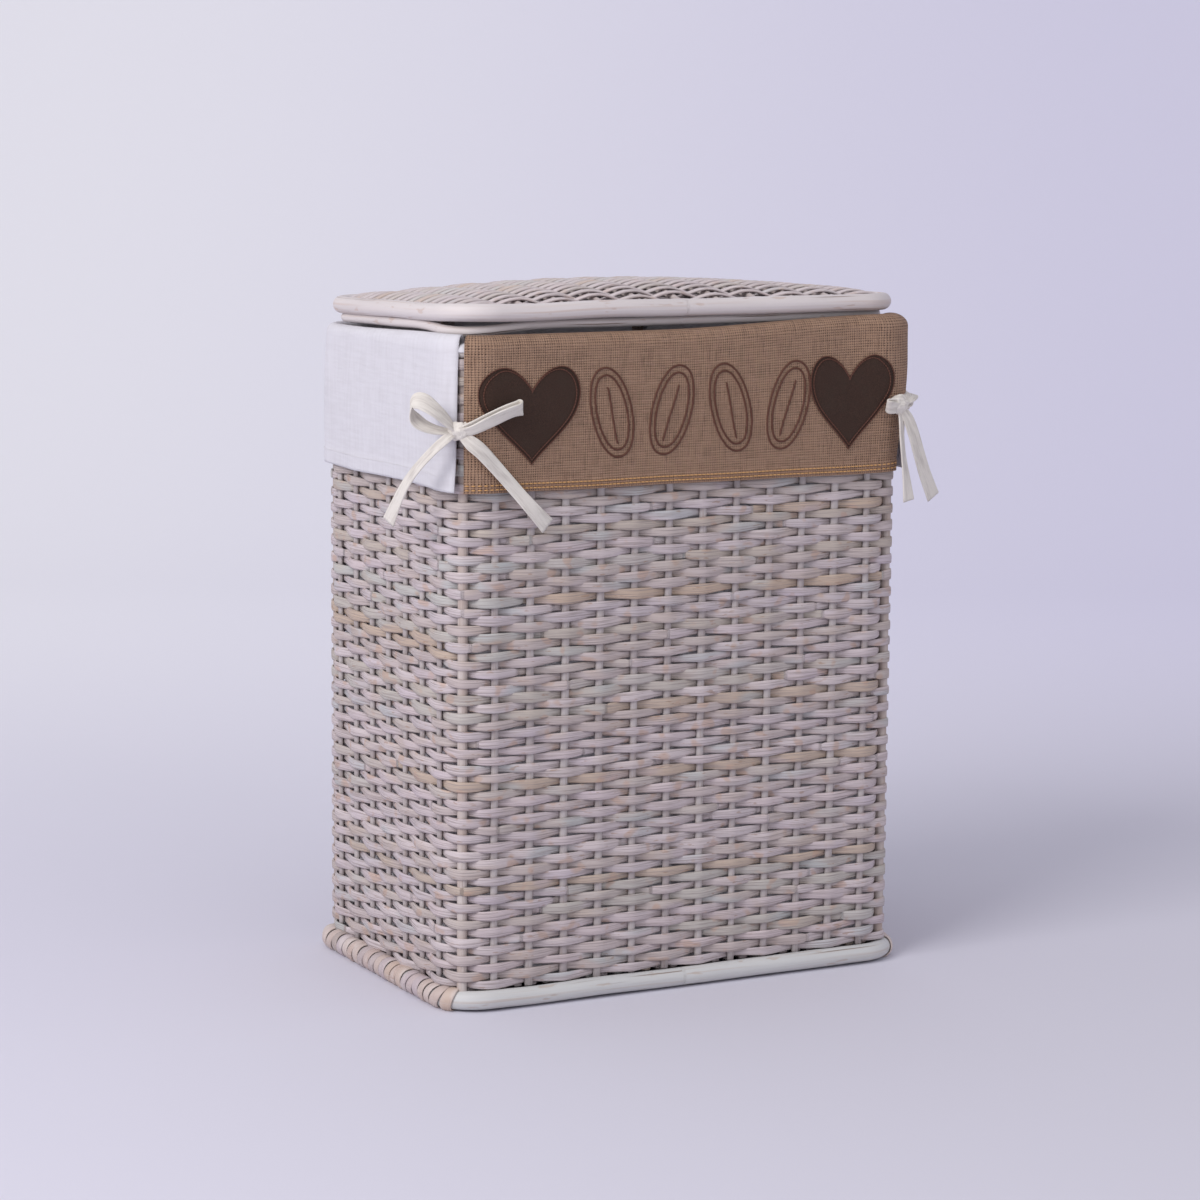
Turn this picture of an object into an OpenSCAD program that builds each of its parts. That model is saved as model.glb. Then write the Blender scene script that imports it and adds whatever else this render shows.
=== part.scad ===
// Tall woven laundry basket with a hinged lid and a cotton liner folded over its rim.
// X runs left to right, Y front to back, Z up; the origin is the middle of the base, on the floor.

/* [Body] */
// Outside width of the woven body
body_w = 440; // [420:1:460]
// Outside depth of the woven body
body_d = 288; // [280:1:296]
// Height of the middle of the rim hoop
rim_z = 556; // [530:1:580]
// Outside radius of the upright corners
corner_r = 35; // [33:1:37]
// Thickness of the woven wall
wall_t = 11; // [11:0.5:12]

/* [Poles and stakes] */
// Diameter of the pole bent round the foot
base_pole_d = 16; // [14:0.5:17]
// Diameter of the hoop inside the rim
rim_pole_d = 11; // [10:0.5:11]
// Diameter of the pole round the lid
lid_pole_d = 15; // [13:0.5:16]
// Diameter of the thin hoop under the lid pole
lid_lower_d = 8; // [7:0.5:9]
// Diameter of the four corner posts
post_d = 8.5; // [8:0.5:9.5]
// Diameter of the upright stakes
stake_d = 6; // [4:0.5:7]
// Stakes in the front and in the back
front_count = 12; // [8:2:12]
// Stakes in each side
side_count = 7; // [5:1:7]
// Distance between front stakes
front_pitch = 32.8; // [31:0.2:32.8]
// Distance between side stakes
side_pitch = 34.5; // [30:0.5:34.5]

/* [Lid] */
// How far the lid stands in from the wall's outside
lid_inset = 1.5; // [0:0.5:3]
// Outside radius of the lid's corners
lid_corner_r = 42; // [36:1:46]
// Rise of the woven panel in the middle of the lid
lid_crown = 9; // [6:0.5:12]
// How far the closed lid's front stands up, in degrees
lid_tilt = 2; // [0:0.5:3]
// Thickness of the woven lid panel
panel_t = 9; // [8:0.5:10]
// Width of each cane hinge loop
loop_w = 14; // [8:1:16]
// Thickness of the cane in a hinge loop
loop_t = 2.5; // [2:0.5:2.5]

/* [Cloth] */
// Thickness of the cotton liner
cotton_t = 1.2; // [0.8:0.1:1.2]
// Thickness of the burlap band
burlap_t = 2; // [1.5:0.1:2]
// Height of the lower edge of the cotton flap
flap_z = 441; // [430:1:460]
// Height of the lower edge of the burlap band
band_z = 440; // [420:1:460]
// Width of the cotton tape in the bows
tape_w = 14; // [10:1:16]

/* [Hidden] */
$fn = 64;

gap = 0.4;
bore_gap = 0.1;
binding_t = 1.8;
base_proud = 6;
base_corner_r = 42;
weave_base = base_pole_d / 2 + binding_t - 0.5;
base_top = weave_base + base_pole_d / 2 + binding_t + gap;
pole_top = weave_base + base_pole_d / 2 + bore_gap;
weave_top = rim_z - rim_pole_d / 2 - gap;
core_x = body_w / 2 - wall_t / 2;
core_y = body_d / 2 - wall_t / 2;
core_r = corner_r - wall_t / 2;
corner_x = body_w / 2 - corner_r;
corner_y = body_d / 2 - corner_r;
foot_x = body_w / 2 + base_proud - base_pole_d / 2;
foot_y = body_d / 2 + base_proud - base_pole_d / 2;
floor_t = 9;
floor_z = pole_top - floor_t;
floor_stick_d = 5.6;
floor_pitch = 44;

fold_r = rim_pole_d / 2 + gap;
fold_top = rim_z + fold_r + cotton_t;
bag_x = core_x - fold_r;
bag_y = core_y - fold_r;
bag_r = core_r - fold_r;
cloth_gap = fold_r - wall_t / 2;
band_top = fold_top + 6;
band_face_y = -(body_d / 2 + cloth_gap + cotton_t + burlap_t);

lid_lower_z = fold_top + gap + lid_lower_d / 2;
lower_inset = 5;
lower_front_inset = 9;
lid_pole_z = lid_lower_z
    + sqrt(pow((lid_lower_d + lid_pole_d) / 2 + gap, 2) - lower_inset * lower_inset);
lid_x = body_w / 2 - lid_inset - lid_pole_d / 2;
lid_y = body_d / 2 - lid_inset - lid_pole_d / 2;
lid_r = lid_corner_r - lid_pole_d / 2;
panel_x = lid_x - lid_pole_d / 2 - gap;
panel_y = lid_y - lid_pole_d / 2 - gap;
panel_r = lid_corner_r - lid_pole_d - gap;
arch_r = (panel_x * panel_x + lid_crown * lid_crown) / (2 * lid_crown);
arch_top_z = lid_pole_z + lid_crown - 1;
arch_z = arch_top_z - arch_r;
rib_d = 5.6;
rib_pitch = 37;
loop_x = 3 * front_pitch;
loop_bore_r = rim_pole_d / 2 + 0.3;
notch_w = loop_w + 2 * gap;
notch_z = rim_z - 14;

slit_flap_angle = 28;
slit_band_angle = 42;
left_heart_w = 92;
right_heart_w = 84;
heart_h = 80;
felt_t = 1.2;
thread_d = 1;
tape_t = 1.6;
knot_out = 46;
knot_size = [15, 8, 11];

cane_white = [0.80, 0.76, 0.75];
wicker_grey = [0.62, 0.57, 0.57];
cane_tan = [0.66, 0.53, 0.46];
cotton_white = [0.90, 0.88, 0.86];
burlap_brown = [0.52, 0.41, 0.33];
felt_brown = [0.26, 0.18, 0.15];
gold_thread = [0.72, 0.52, 0.30];

// Flat rounded rectangle, centred, with half sizes x and y and corner radius r
module pad_outline(x, y, r) {
    square([2 * (x - r), 2 * y], center = true);
    square([2 * x, 2 * (y - r)], center = true);
    for (sx = [-1, 1], sy = [-1, 1])
        translate([sx * (x - r), sy * (y - r)]) circle(r);
}

// Pole bent into a flat rounded rectangle; x, y and r are of its middle line
module bent_pole(x, y, r, pole_r) {
    for (sy = [-1, 1])
        translate([0, sy * y, 0]) rotate([0, 90, 0])
            cylinder(r = pole_r, h = 2 * (x - r), center = true);
    for (sx = [-1, 1])
        translate([sx * x, 0, 0]) rotate([90, 0, 0])
            cylinder(r = pole_r, h = 2 * (y - r), center = true);
    for (turn = [0 : 3]) {
        sx = (turn == 0 || turn == 3) ? 1 : -1;
        sy = turn < 2 ? 1 : -1;
        translate([sx * (x - r), sy * (y - r), 0]) rotate([0, 0, 90 * turn])
            rotate_extrude(angle = 90) translate([r, 0]) circle(pole_r);
    }
}

// Places along a row of n, centred on zero
function row(n, pitch) = [for (i = [0 : n - 1]) (i - (n - 1) / 2) * pitch];

// Space that both hinge loops need in the back of the wall and of the cloth
module hinge_notches() {
    for (side = [-1, 1])
        translate([side * loop_x - notch_w / 2, body_d / 4, notch_z])
            cube([notch_w, body_d, rim_z]);
}

// ---- foot and floor of the basket

module base_hoop() {
    color(cane_white) translate([0, 0, weave_base])
        bent_pole(foot_x, foot_y, base_corner_r - base_pole_d / 2, base_pole_d / 2);
}

// Cane wound round one side of the foot; its underside is the flat it rests on
module base_binding(side) {
    length = 2 * (body_d / 2 + base_proud - base_corner_r) - 2 * gap;
    color(cane_tan) translate([side * foot_x, 0, weave_base]) difference() {
        rotate([90, 0, 0])
            cylinder(r = base_pole_d / 2 + binding_t, h = length, center = true);
        rotate([90, 0, 0])
            cylinder(r = base_pole_d / 2 + bore_gap, h = length + 2, center = true);
        translate([-base_pole_d, -length, -weave_base - base_pole_d])
            cube([2 * base_pole_d, 2 * length, base_pole_d]);
    }
}

module left_base_binding() { base_binding(-1); }
module right_base_binding() { base_binding(1); }

// Sticks that run the length of the floor
module floor_stick_row(d, inset) {
    for (y = row(5, floor_pitch))
        translate([0, y, floor_z + floor_t / 2]) rotate([0, 90, 0])
            cylinder(d = d, h = 2 * (foot_x - base_pole_d / 2 - binding_t - inset), center = true);
}

module base_sticks() {
    color(wicker_grey) floor_stick_row(floor_stick_d, 2 * gap);
}

module base_weave() {
    color(wicker_grey) difference() {
        translate([0, 0, floor_z]) linear_extrude(floor_t)
            pad_outline(foot_x - base_pole_d / 2 - binding_t - gap,
                foot_y - base_pole_d / 2 - gap, base_corner_r - base_pole_d - gap);
        floor_stick_row(floor_stick_d + 2 * bore_gap, -gap);
    }
}

// ---- uprights

module corner_posts() {
    reach = core_r * cos(45);
    color(cane_white)
        for (sx = [-1, 1], sy = [-1, 1])
            translate([sx * (corner_x + reach), sy * (corner_y + reach), pole_top])
                cylinder(d = post_d, h = weave_top - pole_top);
}

module front_row(side, d) {
    for (x = row(front_count, front_pitch))
        translate([x, side * core_y, pole_top]) cylinder(d = d, h = weave_top - pole_top);
}

module side_row(side, d) {
    for (y = row(side_count, side_pitch))
        translate([side * core_x, y, base_top]) cylinder(d = d, h = weave_top - base_top);
}

module front_stakes() { color(wicker_grey) front_row(-1, stake_d); }
module back_stakes() { color(wicker_grey) front_row(1, stake_d); }
module left_stakes() { color(wicker_grey) side_row(-1, stake_d); }
module right_stakes() { color(wicker_grey) side_row(1, stake_d); }

// ---- woven walls, one solid slab for the rods woven round each row of stakes

module wall_slab(x, y) {
    translate([-x, -y, base_top]) cube([2 * x, 2 * y, weave_top - base_top]);
}

module front_weave() {
    color(wicker_grey) difference() {
        translate([0, -core_y, 0]) wall_slab(corner_x - bore_gap, wall_t / 2);
        front_row(-1, stake_d + 2 * bore_gap);
    }
}

module back_weave() {
    color(wicker_grey) difference() {
        translate([0, core_y, 0]) wall_slab(corner_x - bore_gap, wall_t / 2);
        front_row(1, stake_d + 2 * bore_gap);
        hinge_notches();
    }
}

module side_weave(side) {
    color(wicker_grey) difference() {
        translate([side * core_x, 0, 0]) wall_slab(wall_t / 2, corner_y - bore_gap);
        side_row(side, stake_d + 2 * bore_gap);
    }
}

module left_weave() { side_weave(-1); }
module right_weave() { side_weave(1); }

module corner_weave() {
    reach = core_r * cos(45);
    color(wicker_grey)
        for (turn = [0 : 3]) {
            sx = (turn == 0 || turn == 3) ? 1 : -1;
            sy = turn < 2 ? 1 : -1;
            translate([sx * corner_x, sy * corner_y, base_top]) rotate([0, 0, 90 * turn])
                linear_extrude(weave_top - base_top) difference() {
                    intersection() {
                        circle(corner_r);
                        square(corner_r);
                    }
                    circle(corner_r - wall_t);
                    translate([reach, reach]) circle(post_d / 2 + bore_gap);
                }
        }
}

module rim_hoop() {
    color(cane_white) translate([0, 0, rim_z])
        bent_pole(core_x, core_y, core_r, rim_pole_d / 2);
}

// ---- cloth

module liner_bag() {
    bag_floor = pole_top + gap;
    color(cotton_white) difference() {
        translate([0, 0, bag_floor]) linear_extrude(rim_z - bag_floor)
            pad_outline(bag_x, bag_y, bag_r);
        translate([0, 0, bag_floor + cotton_t]) linear_extrude(rim_z)
            pad_outline(bag_x - cotton_t, bag_y - cotton_t, bag_r - cotton_t);
        hinge_notches();
    }
}

// Ring of cloth standing cloth_gap off the wall
module cloth_ring(t) {
    difference() {
        pad_outline(body_w / 2 + cloth_gap + t, body_d / 2 + cloth_gap + t,
            corner_r + cloth_gap + t);
        pad_outline(body_w / 2 + cloth_gap, body_d / 2 + cloth_gap, corner_r + cloth_gap);
    }
}

// Front part of the ring, cut at both front corners along lines at this angle below the X axis
module front_sector(angle) {
    far = body_w;
    polygon([
        [-corner_x, -corner_y], [-corner_x - far * cos(angle), -corner_y - far * sin(angle)],
        [-corner_x, -corner_y - far], [corner_x, -corner_y - far],
        [corner_x + far * cos(angle), -corner_y - far * sin(angle)], [corner_x, -corner_y]
    ]);
}

module liner_skirt() {
    color(cotton_white) difference() {
        union() {
            translate([0, 0, flap_z]) linear_extrude(rim_z - flap_z)
                difference() {
                    cloth_ring(cotton_t);
                    front_sector(slit_flap_angle);
                }
            difference() {
                translate([0, 0, rim_z]) bent_pole(core_x, core_y, core_r, fold_r + cotton_t);
                translate([0, 0, rim_z]) bent_pole(core_x, core_y, core_r, fold_r);
                translate([-body_w, -body_w, rim_z - body_w])
                    cube([2 * body_w, 2 * body_w, body_w]);
            }
        }
        hinge_notches();
    }
}

module burlap_band() {
    color(burlap_brown) translate([0, 0, band_z]) linear_extrude(band_top - band_z)
        intersection() {
            difference() {
                cloth_ring(cotton_t + burlap_t);
                cloth_ring(cotton_t + bore_gap);
            }
            front_sector(slit_band_angle);
        }
}

// Two rows of topstitching along the folded lower edge
module hem_stitching() {
    color(gold_thread)
        for (z = [3, 6])
            translate([-corner_x, band_face_y - thread_d / 2, band_z + z])
                cube([2 * corner_x, thread_d / 2, thread_d]);
}

// Heart standing on its tip: two round lobes and the two straight lines that touch them
module heart_outline(w, h) {
    r = 0.265 * w;
    cx = w / 2 - r;
    cy = h - r;
    reach = sqrt(cx * cx + cy * cy);
    touch = atan2(cy, cx) - asin(r / reach);
    run = sqrt(reach * reach - r * r);
    for (side = [-1, 1])
        translate([side * cx, cy]) circle(r);
    polygon([
        [0, 0], [run * cos(touch), run * sin(touch)], [cx, cy], [0, cy + 0.45 * r],
        [-cx, cy], [-run * cos(touch), run * sin(touch)]
    ]);
}

module felt_heart(x, w) {
    color(felt_brown) translate([x, band_face_y, band_z + 23]) rotate([90, 0, 0])
        linear_extrude(felt_t) heart_outline(w, heart_h);
}

module left_heart() { felt_heart(-153, left_heart_w); }
module right_heart() { felt_heart(159, right_heart_w); }

// Leaf shape between two equal arcs, tip to tip along Y
module leaf_blade(length, width) {
    arc_r = (length * length + width * width) / (4 * width);
    intersection() {
        translate([arc_r - width / 2, 0]) circle(arc_r, $fn = 180);
        translate([width / 2 - arc_r, 0]) circle(arc_r, $fn = 180);
    }
}

module leaf_outline(length, width) {
    difference() {
        leaf_blade(length, width);
        leaf_blade(length - 6, width - 4);
    }
}

module stitched_leaves() {
    lean = 14;
    color(felt_brown)
        for (i = [0 : 3])
            translate([-77 + 58 * i, band_face_y, band_z + 63]) rotate([90, 0, 0])
                rotate([0, 0, i % 2 == 0 ? -lean : lean])
                    linear_extrude(thread_d) leaf_outline(74, 32);
}

// ---- bows: each corner has one tape from the band and one from the flap

// Flat strap between two points, with its width along X
module strap(from, to, w) {
    hull() {
        translate(from) cube([w, tape_t, tape_t], center = true);
        translate(to) cube([w, tape_t, tape_t], center = true);
    }
}

// Point on the outside of a front corner: shift is along the cloth, towards the band
function at_knot(side, shift, z) = [
    side * (corner_x + (knot_out - shift) * cos(45)),
    -corner_y - (knot_out + shift) * sin(45),
    band_z + z
];

// Tape sewn to the band's edge: it makes the knot, one loop and one tail
module band_tie(side, loop_end, tail_end) {
    color(cotton_white) {
        translate(at_knot(side, 0, 58)) rotate([0, 0, side * 45]) cube(knot_size, center = true);
        strap(at_knot(side, 8, 61), loop_end, 9);
        strap(at_knot(side, 8, 53), tail_end, tape_w);
    }
}

// Tape sewn to the flap's edge: its loop and tail start beside the knot
module flap_tie(side, loop_end, tail_end) {
    color(cotton_white) {
        strap(at_knot(side, -knot_size[0], 57), loop_end, 9);
        strap(at_knot(side, -knot_size[0], 57), tail_end, tape_w);
    }
}

module left_band_tie() {
    band_tie(-1, [-163, -156.4, band_z + 73], [-139, -154, band_z - 28]);
}

module left_flap_tie() {
    flap_tie(-1, [-248, -136, band_z + 68], [-254, -88, band_z - 27]);
}

module right_band_tie() {
    band_tie(1, [203, -154, band_z + 61], [229, -149, band_z - 26]);
}

module right_flap_tie() {
    flap_tie(1, [240, -106, band_z + 63], [259, -130, band_z - 26]);
}

// ---- lid, drawn level and then tipped about the hinge so that its front stands up a little

module tipped() {
    translate([0, core_y, rim_z]) rotate([-lid_tilt, 0, 0])
        translate([0, -core_y, -rim_z]) children();
}

module lid_hoop() {
    color(cane_white) tipped() translate([0, 0, lid_pole_z])
        bent_pole(lid_x, lid_y, lid_r, lid_pole_d / 2);
}

// The lower hoop lies inside the pole's outline, and further in along the front
module lid_lower_hoop() {
    back = lid_y - lower_inset;
    front = lid_y - lower_front_inset;
    color(cane_white) tipped() translate([0, (back - front) / 2, lid_lower_z])
        bent_pole(lid_x - lower_inset, (back + front) / 2, lid_r, lid_lower_d / 2);
}

// Straight ribs from front to back, following the crown from left to right
module rib_row(d, inset) {
    for (x = row(11, rib_pitch))
        translate([x, 0, arch_z + sqrt(arch_r * arch_r - x * x)]) rotate([90, 0, 0])
            cylinder(d = d, h = 2 * (panel_y - inset), center = true);
}

module lid_ribs() {
    color(wicker_grey) tipped() rib_row(rib_d, 3.2);
}

module lid_weave() {
    color(wicker_grey) tipped() difference() {
        intersection() {
            translate([0, 0, lid_lower_z]) linear_extrude(lid_pole_d + lid_crown + panel_t)
                pad_outline(panel_x, panel_y, panel_r);
            translate([0, 0, arch_z]) rotate([90, 0, 0])
                cylinder(r = arch_r + panel_t / 2, h = body_w, center = true, $fn = 720);
        }
        translate([0, 0, arch_z]) rotate([90, 0, 0])
            cylinder(r = arch_r - panel_t / 2, h = body_w, center = true, $fn = 720);
        rib_row(rib_d + 2 * bore_gap, 2.8);
        for (side = [-1, 1])
            translate([side * loop_x - notch_w / 2, panel_y - loop_t, lid_lower_z])
                cube([notch_w, body_d, body_d]);
    }
}

// Cane wound round the rim hoop and both lid poles; it turns on the rim hoop
module hinge_loops() {
    span = [lid_y - core_y, lid_pole_z - rim_z];
    color(cane_tan) tipped()
        for (side = [-1, 1])
            translate([side * loop_x - loop_w / 2, 0, 0]) rotate([90, 0, 90])
                linear_extrude(loop_w) difference() {
                    union() {
                        translate([core_y, rim_z]) circle(loop_bore_r + loop_t);
                        translate([lid_y, lid_pole_z]) circle(lid_pole_d / 2 + loop_t);
                        translate([lid_y - lower_inset, lid_lower_z])
                            circle(lid_lower_d / 2 + loop_t);
                        translate([core_y, rim_z]) rotate(atan2(span[1], span[0]))
                            translate([0, -loop_bore_r - loop_t / 2])
                                square([norm(span), 2 * loop_bore_r + loop_t]);
                    }
                    translate([core_y, rim_z]) circle(loop_bore_r);
                    translate([lid_y - lower_inset, lid_lower_z])
                        circle(lid_lower_d / 2 + gap);
                    translate([lid_y, lid_pole_z]) circle(lid_pole_d / 2 + gap);
                }
}

base_hoop();
left_base_binding();
right_base_binding();
base_sticks();
base_weave();
corner_posts();
front_stakes();
back_stakes();
left_stakes();
right_stakes();
front_weave();
back_weave();
left_weave();
right_weave();
corner_weave();
rim_hoop();
liner_bag();
liner_skirt();
burlap_band();
hem_stitching();
left_heart();
right_heart();
stitched_leaves();
left_band_tie();
left_flap_tie();
right_band_tie();
right_flap_tie();
lid_hoop();
lid_lower_hoop();
lid_ribs();
lid_weave();
hinge_loops();
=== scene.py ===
import math

import bpy
import numpy as np
from mathutils import Matrix, Vector


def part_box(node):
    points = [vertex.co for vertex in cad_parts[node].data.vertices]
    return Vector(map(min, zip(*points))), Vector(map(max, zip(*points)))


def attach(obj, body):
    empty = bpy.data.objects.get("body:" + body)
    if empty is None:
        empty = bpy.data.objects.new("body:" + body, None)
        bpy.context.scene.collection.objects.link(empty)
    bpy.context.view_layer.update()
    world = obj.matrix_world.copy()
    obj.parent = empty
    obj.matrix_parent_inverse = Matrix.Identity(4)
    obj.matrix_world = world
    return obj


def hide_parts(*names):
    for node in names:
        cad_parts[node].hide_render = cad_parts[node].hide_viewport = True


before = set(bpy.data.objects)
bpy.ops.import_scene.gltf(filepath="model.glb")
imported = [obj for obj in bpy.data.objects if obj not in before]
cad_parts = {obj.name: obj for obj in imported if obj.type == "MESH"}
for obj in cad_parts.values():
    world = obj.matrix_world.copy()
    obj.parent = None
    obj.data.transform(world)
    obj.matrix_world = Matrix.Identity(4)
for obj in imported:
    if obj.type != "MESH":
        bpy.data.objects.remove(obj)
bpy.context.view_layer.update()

# ---- Camera
# A long lens stands in front of the basket and to its left, at the height of its lid and a little
# above, and looks down at it by nine degrees.

camera_data = bpy.data.cameras.new("camera")
camera_data.lens = 107.0
camera_data.sensor_width = 36.0
camera_data.clip_end = 50.0
camera = bpy.data.objects.new("camera", camera_data)
bpy.context.scene.collection.objects.link(camera)
camera_place = (-1.4618, -2.7712, 0.7992)
camera_yaw = math.radians(27.66)
camera_pitch = math.radians(8.716)
camera_roll = math.radians(-0.47)
camera.matrix_world = (
    Matrix.Translation(camera_place)
    @ Matrix.Rotation(-camera_yaw, 4, "Z")
    @ Matrix.Rotation(math.pi / 2 - camera_pitch, 4, "X")
    @ Matrix.Rotation(-camera_roll, 4, "Z")
)
bpy.context.scene.camera = camera
bpy.context.scene.view_settings.view_transform = "Standard"

# ---- Foot pole
# A rattan pole about 16 mm thick, bent into a flat rounded rectangle under the woven walls and
# painted white; thin cracks and scraped places show the tan wood through the paint.


def tone(red, green, blue):
    """Linear colour of a swatch that is given as three numbers from 0 to 255."""
    swatch = np.array((red, green, blue)) / 255
    return (*np.where(swatch < 0.04045, swatch / 12.92, ((swatch + 0.055) / 1.055) ** 2.4), 1.0)


class Level:
    """A value that varies over a surface. Arithmetic on it adds Math nodes to its finish."""

    def __init__(self, finish, socket):
        self.finish = finish
        self.socket = socket

    def math(self, operation, *values):
        return self.finish.node("ShaderNodeMath", {"operation": operation}, dict(enumerate(values)))

    def __add__(self, other):
        return self.math("ADD", self, other)

    def __sub__(self, other):
        return self.math("SUBTRACT", self, other)

    def __rsub__(self, other):
        return self.math("SUBTRACT", other, self)

    def __mul__(self, other):
        return self.math("MULTIPLY", self, other)

    def __abs__(self):
        return self.math("ABSOLUTE", self)

    __radd__ = __add__
    __rmul__ = __mul__

    def sine(self):
        return self.math("SINE", self)

    def between(self, low, high):
        """0 below low, 1 above high, and a soft slope from one to the other."""
        ramp = {"interpolation_type": "SMOOTHSTEP"}
        return self.finish.node("ShaderNodeMapRange", ramp, {0: self, 1: low, 2: high})


class Finish:
    """One material. node() adds any node, and surface() joins levels and numbers to the shader."""

    def __init__(self, name):
        self.material = bpy.data.materials.new(name)
        self.material.use_nodes = True
        self.tree = self.material.node_tree

    def fill(self, node, inputs):
        for key, value in inputs.items():
            if isinstance(value, Level):
                self.tree.links.new(value.socket, node.inputs[key])
            else:
                node.inputs[key].default_value = value

    def node(self, kind, settings, inputs, output=0):
        node = self.tree.nodes.new(kind)
        for key, value in settings.items():
            if key == "stops":
                ramp = node.color_ramp.elements
                while len(ramp) < len(value):
                    ramp.new(1.0)
                for stop, (position, colour) in zip(ramp, value):
                    stop.position = position
                    stop.color = colour
            else:
                setattr(node, key, value)
        self.fill(node, inputs)
        return Level(self, node.outputs[output])

    def surface(self, **inputs):
        named = {key.replace("_", " "): value for key, value in inputs.items()}
        self.fill(self.tree.nodes["Principled BSDF"], named)
        return self

    def place(self):
        return self.node("ShaderNodeTexCoord", {}, {}, "Object")

    def mark(self, name, output="Vector"):
        """What the mesh says at each point under this name."""
        return self.node("ShaderNodeAttribute", {"attribute_name": name}, {}, output)

    def grain(self, place, scale, detail=2.0):
        """Noise with its own scale along each of the three directions of place."""
        stretched = self.node("ShaderNodeVectorMath", {"operation": "MULTIPLY"}, {0: place, 1: scale})
        return self.node("ShaderNodeTexNoise", {}, {"Vector": stretched, "Scale": 1.0, "Detail": detail})

    def part_of(self, place):
        """The three directions of place as separate levels."""
        return [self.node("ShaderNodeSeparateXYZ", {}, {0: place}, axis) for axis in range(3)]

    def mix(self, amount, under, over):
        """under where amount is 0 and over where it is 1; each is a colour level or a swatch."""
        under, over = (tone(*side) if isinstance(side, tuple) else side for side in (under, over))
        return self.node("ShaderNodeMix", {"data_type": "RGBA"}, {0: amount, 6: under, 7: over}, 2)

    def ramp(self, level, *stops):
        """A colour for each level, blended between stops of a position and a swatch."""
        settings = {"stops": [(position, tone(*swatch)) for position, swatch in stops]}
        return self.node("ShaderNodeValToRGB", settings, {0: level})

    def bump(self, height, depth):
        return self.node("ShaderNodeBump", {}, {"Strength": 1.0, "Distance": depth, "Height": height})


class Workpiece:
    """A grid is an array (copies, rings, sides, 3), or (rings, sides, 3) for a single copy. grain is
    a vector and strand a number at each point, for the material."""

    def __init__(self):
        self.points = []
        self.grains = []
        self.strands = []
        self.corners = []
        self.sizes = []
        self.count = 0

    def add(self, grid, grain=None, strand=0.0, ring_loop=False, side_loop=True):
        """Quads between neighbouring points, plus one flat cap on each open end of a tube. Along the
        rings and then round the sides is anticlockwise as seen from outside."""
        grid = grid.reshape(-1, *grid.shape[-3:])
        copies, rings, sides = grid.shape[:3]
        numbers = np.arange(copies * rings * sides).reshape(copies, rings, sides) + self.count
        self.count += numbers.size
        if ring_loop:
            numbers = np.concatenate([numbers, numbers[:, :1]], axis=1)
        if side_loop:
            numbers = np.concatenate([numbers, numbers[:, :, :1]], axis=2)
        quads = np.stack(
            [numbers[:, :-1, :-1], numbers[:, 1:, :-1], numbers[:, 1:, 1:], numbers[:, :-1, 1:]], -1
        )
        self.corners.append(quads.ravel())
        self.sizes.append(np.full(quads.size // 4, 4))
        if side_loop and not ring_loop:
            caps = np.stack([numbers[:, 0, :-1], numbers[:, -1, -2::-1]], 1)
            self.corners.append(caps.ravel())
            self.sizes.append(np.full(2 * copies, sides))
        self.points.append(grid.reshape(-1, 3))
        grain = grid if grain is None else grain
        self.grains.append(np.broadcast_to(grain, grid.shape).reshape(-1, 3))
        self.strands.append(np.broadcast_to(strand, grid.shape[:3]).ravel())
        return self

    def finish(self, name, body, slot, finish, replaces=()):
        mesh = bpy.data.meshes.new(name)
        points = np.concatenate(self.points).astype(np.float32)
        corners = np.concatenate(self.corners).astype(np.int32)
        sizes = np.concatenate(self.sizes).astype(np.int32)
        mesh.vertices.add(len(points))
        mesh.vertices.foreach_set("co", points.ravel())
        mesh.loops.add(len(corners))
        mesh.loops.foreach_set("vertex_index", corners)
        mesh.polygons.add(len(sizes))
        mesh.polygons.foreach_set("loop_start", np.cumsum(sizes) - sizes)
        mesh.polygons.foreach_set("use_smooth", sizes == 4)
        grain = mesh.attributes.new("grain", "FLOAT_VECTOR", "POINT")
        grain.data.foreach_set("vector", np.concatenate(self.grains).astype(np.float32).ravel())
        strand = mesh.attributes.new("strand", "FLOAT", "POINT")
        strand.data.foreach_set("value", np.concatenate(self.strands).astype(np.float32))
        mesh.update(calc_edges=True)
        mesh.materials.append(finish.material)
        piece = bpy.data.objects.new(name, mesh)
        bpy.context.scene.collection.objects.link(piece)
        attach(piece, body)
        if replaces:
            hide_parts(*replaces)
        return piece


upwards = np.array([0.0, 0.0, 1.0])
pole_rings = 420


def stacked(*parts):
    """Arrays of one shape, or that spread to one shape, as the last direction of a new array."""
    return np.stack(np.broadcast_arrays(*parts), -1)


def full_turn(count):
    """Angles at even steps round a circle, from 0."""
    return np.arange(count) * 2 * math.pi / count


def round_path(s, half_x, half_y, radius):
    """Point and outward direction at distance s along a rounded rectangle, from the middle of its
    front towards +X. A circle of that radius rides round an inner rectangle without turning; the
    outline is the circle's point that faces outwards. Returns the point, the direction and the
    whole length."""
    flat_x = half_x - radius
    flat_y = half_y - radius
    bend = math.pi / 2 * radius
    runs = [flat_x, bend, 2 * flat_y, bend, 2 * flat_x, bend, 2 * flat_y, bend, flat_x]
    stops = np.concatenate([[0.0], np.cumsum(runs)])
    along = np.mod(s, stops[-1])
    centre_x = np.interp(along, stops, flat_x * np.array([0, 1, 1, 1, 1, -1, -1, -1, -1, 0]))
    centre_y = np.interp(along, stops, flat_y * np.array([-1, -1, -1, 1, 1, 1, 1, -1, -1, -1]))
    heading = np.interp(along, stops, math.pi / 2 * np.array([0, 0, 1, 1, 2, 2, 3, 3, 4, 4]))
    outward = stacked(np.sin(heading), -np.cos(heading), 0.0)
    point = stacked(centre_x, centre_y, 0.0) + radius * outward
    return point, outward, stops[-1]


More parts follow.
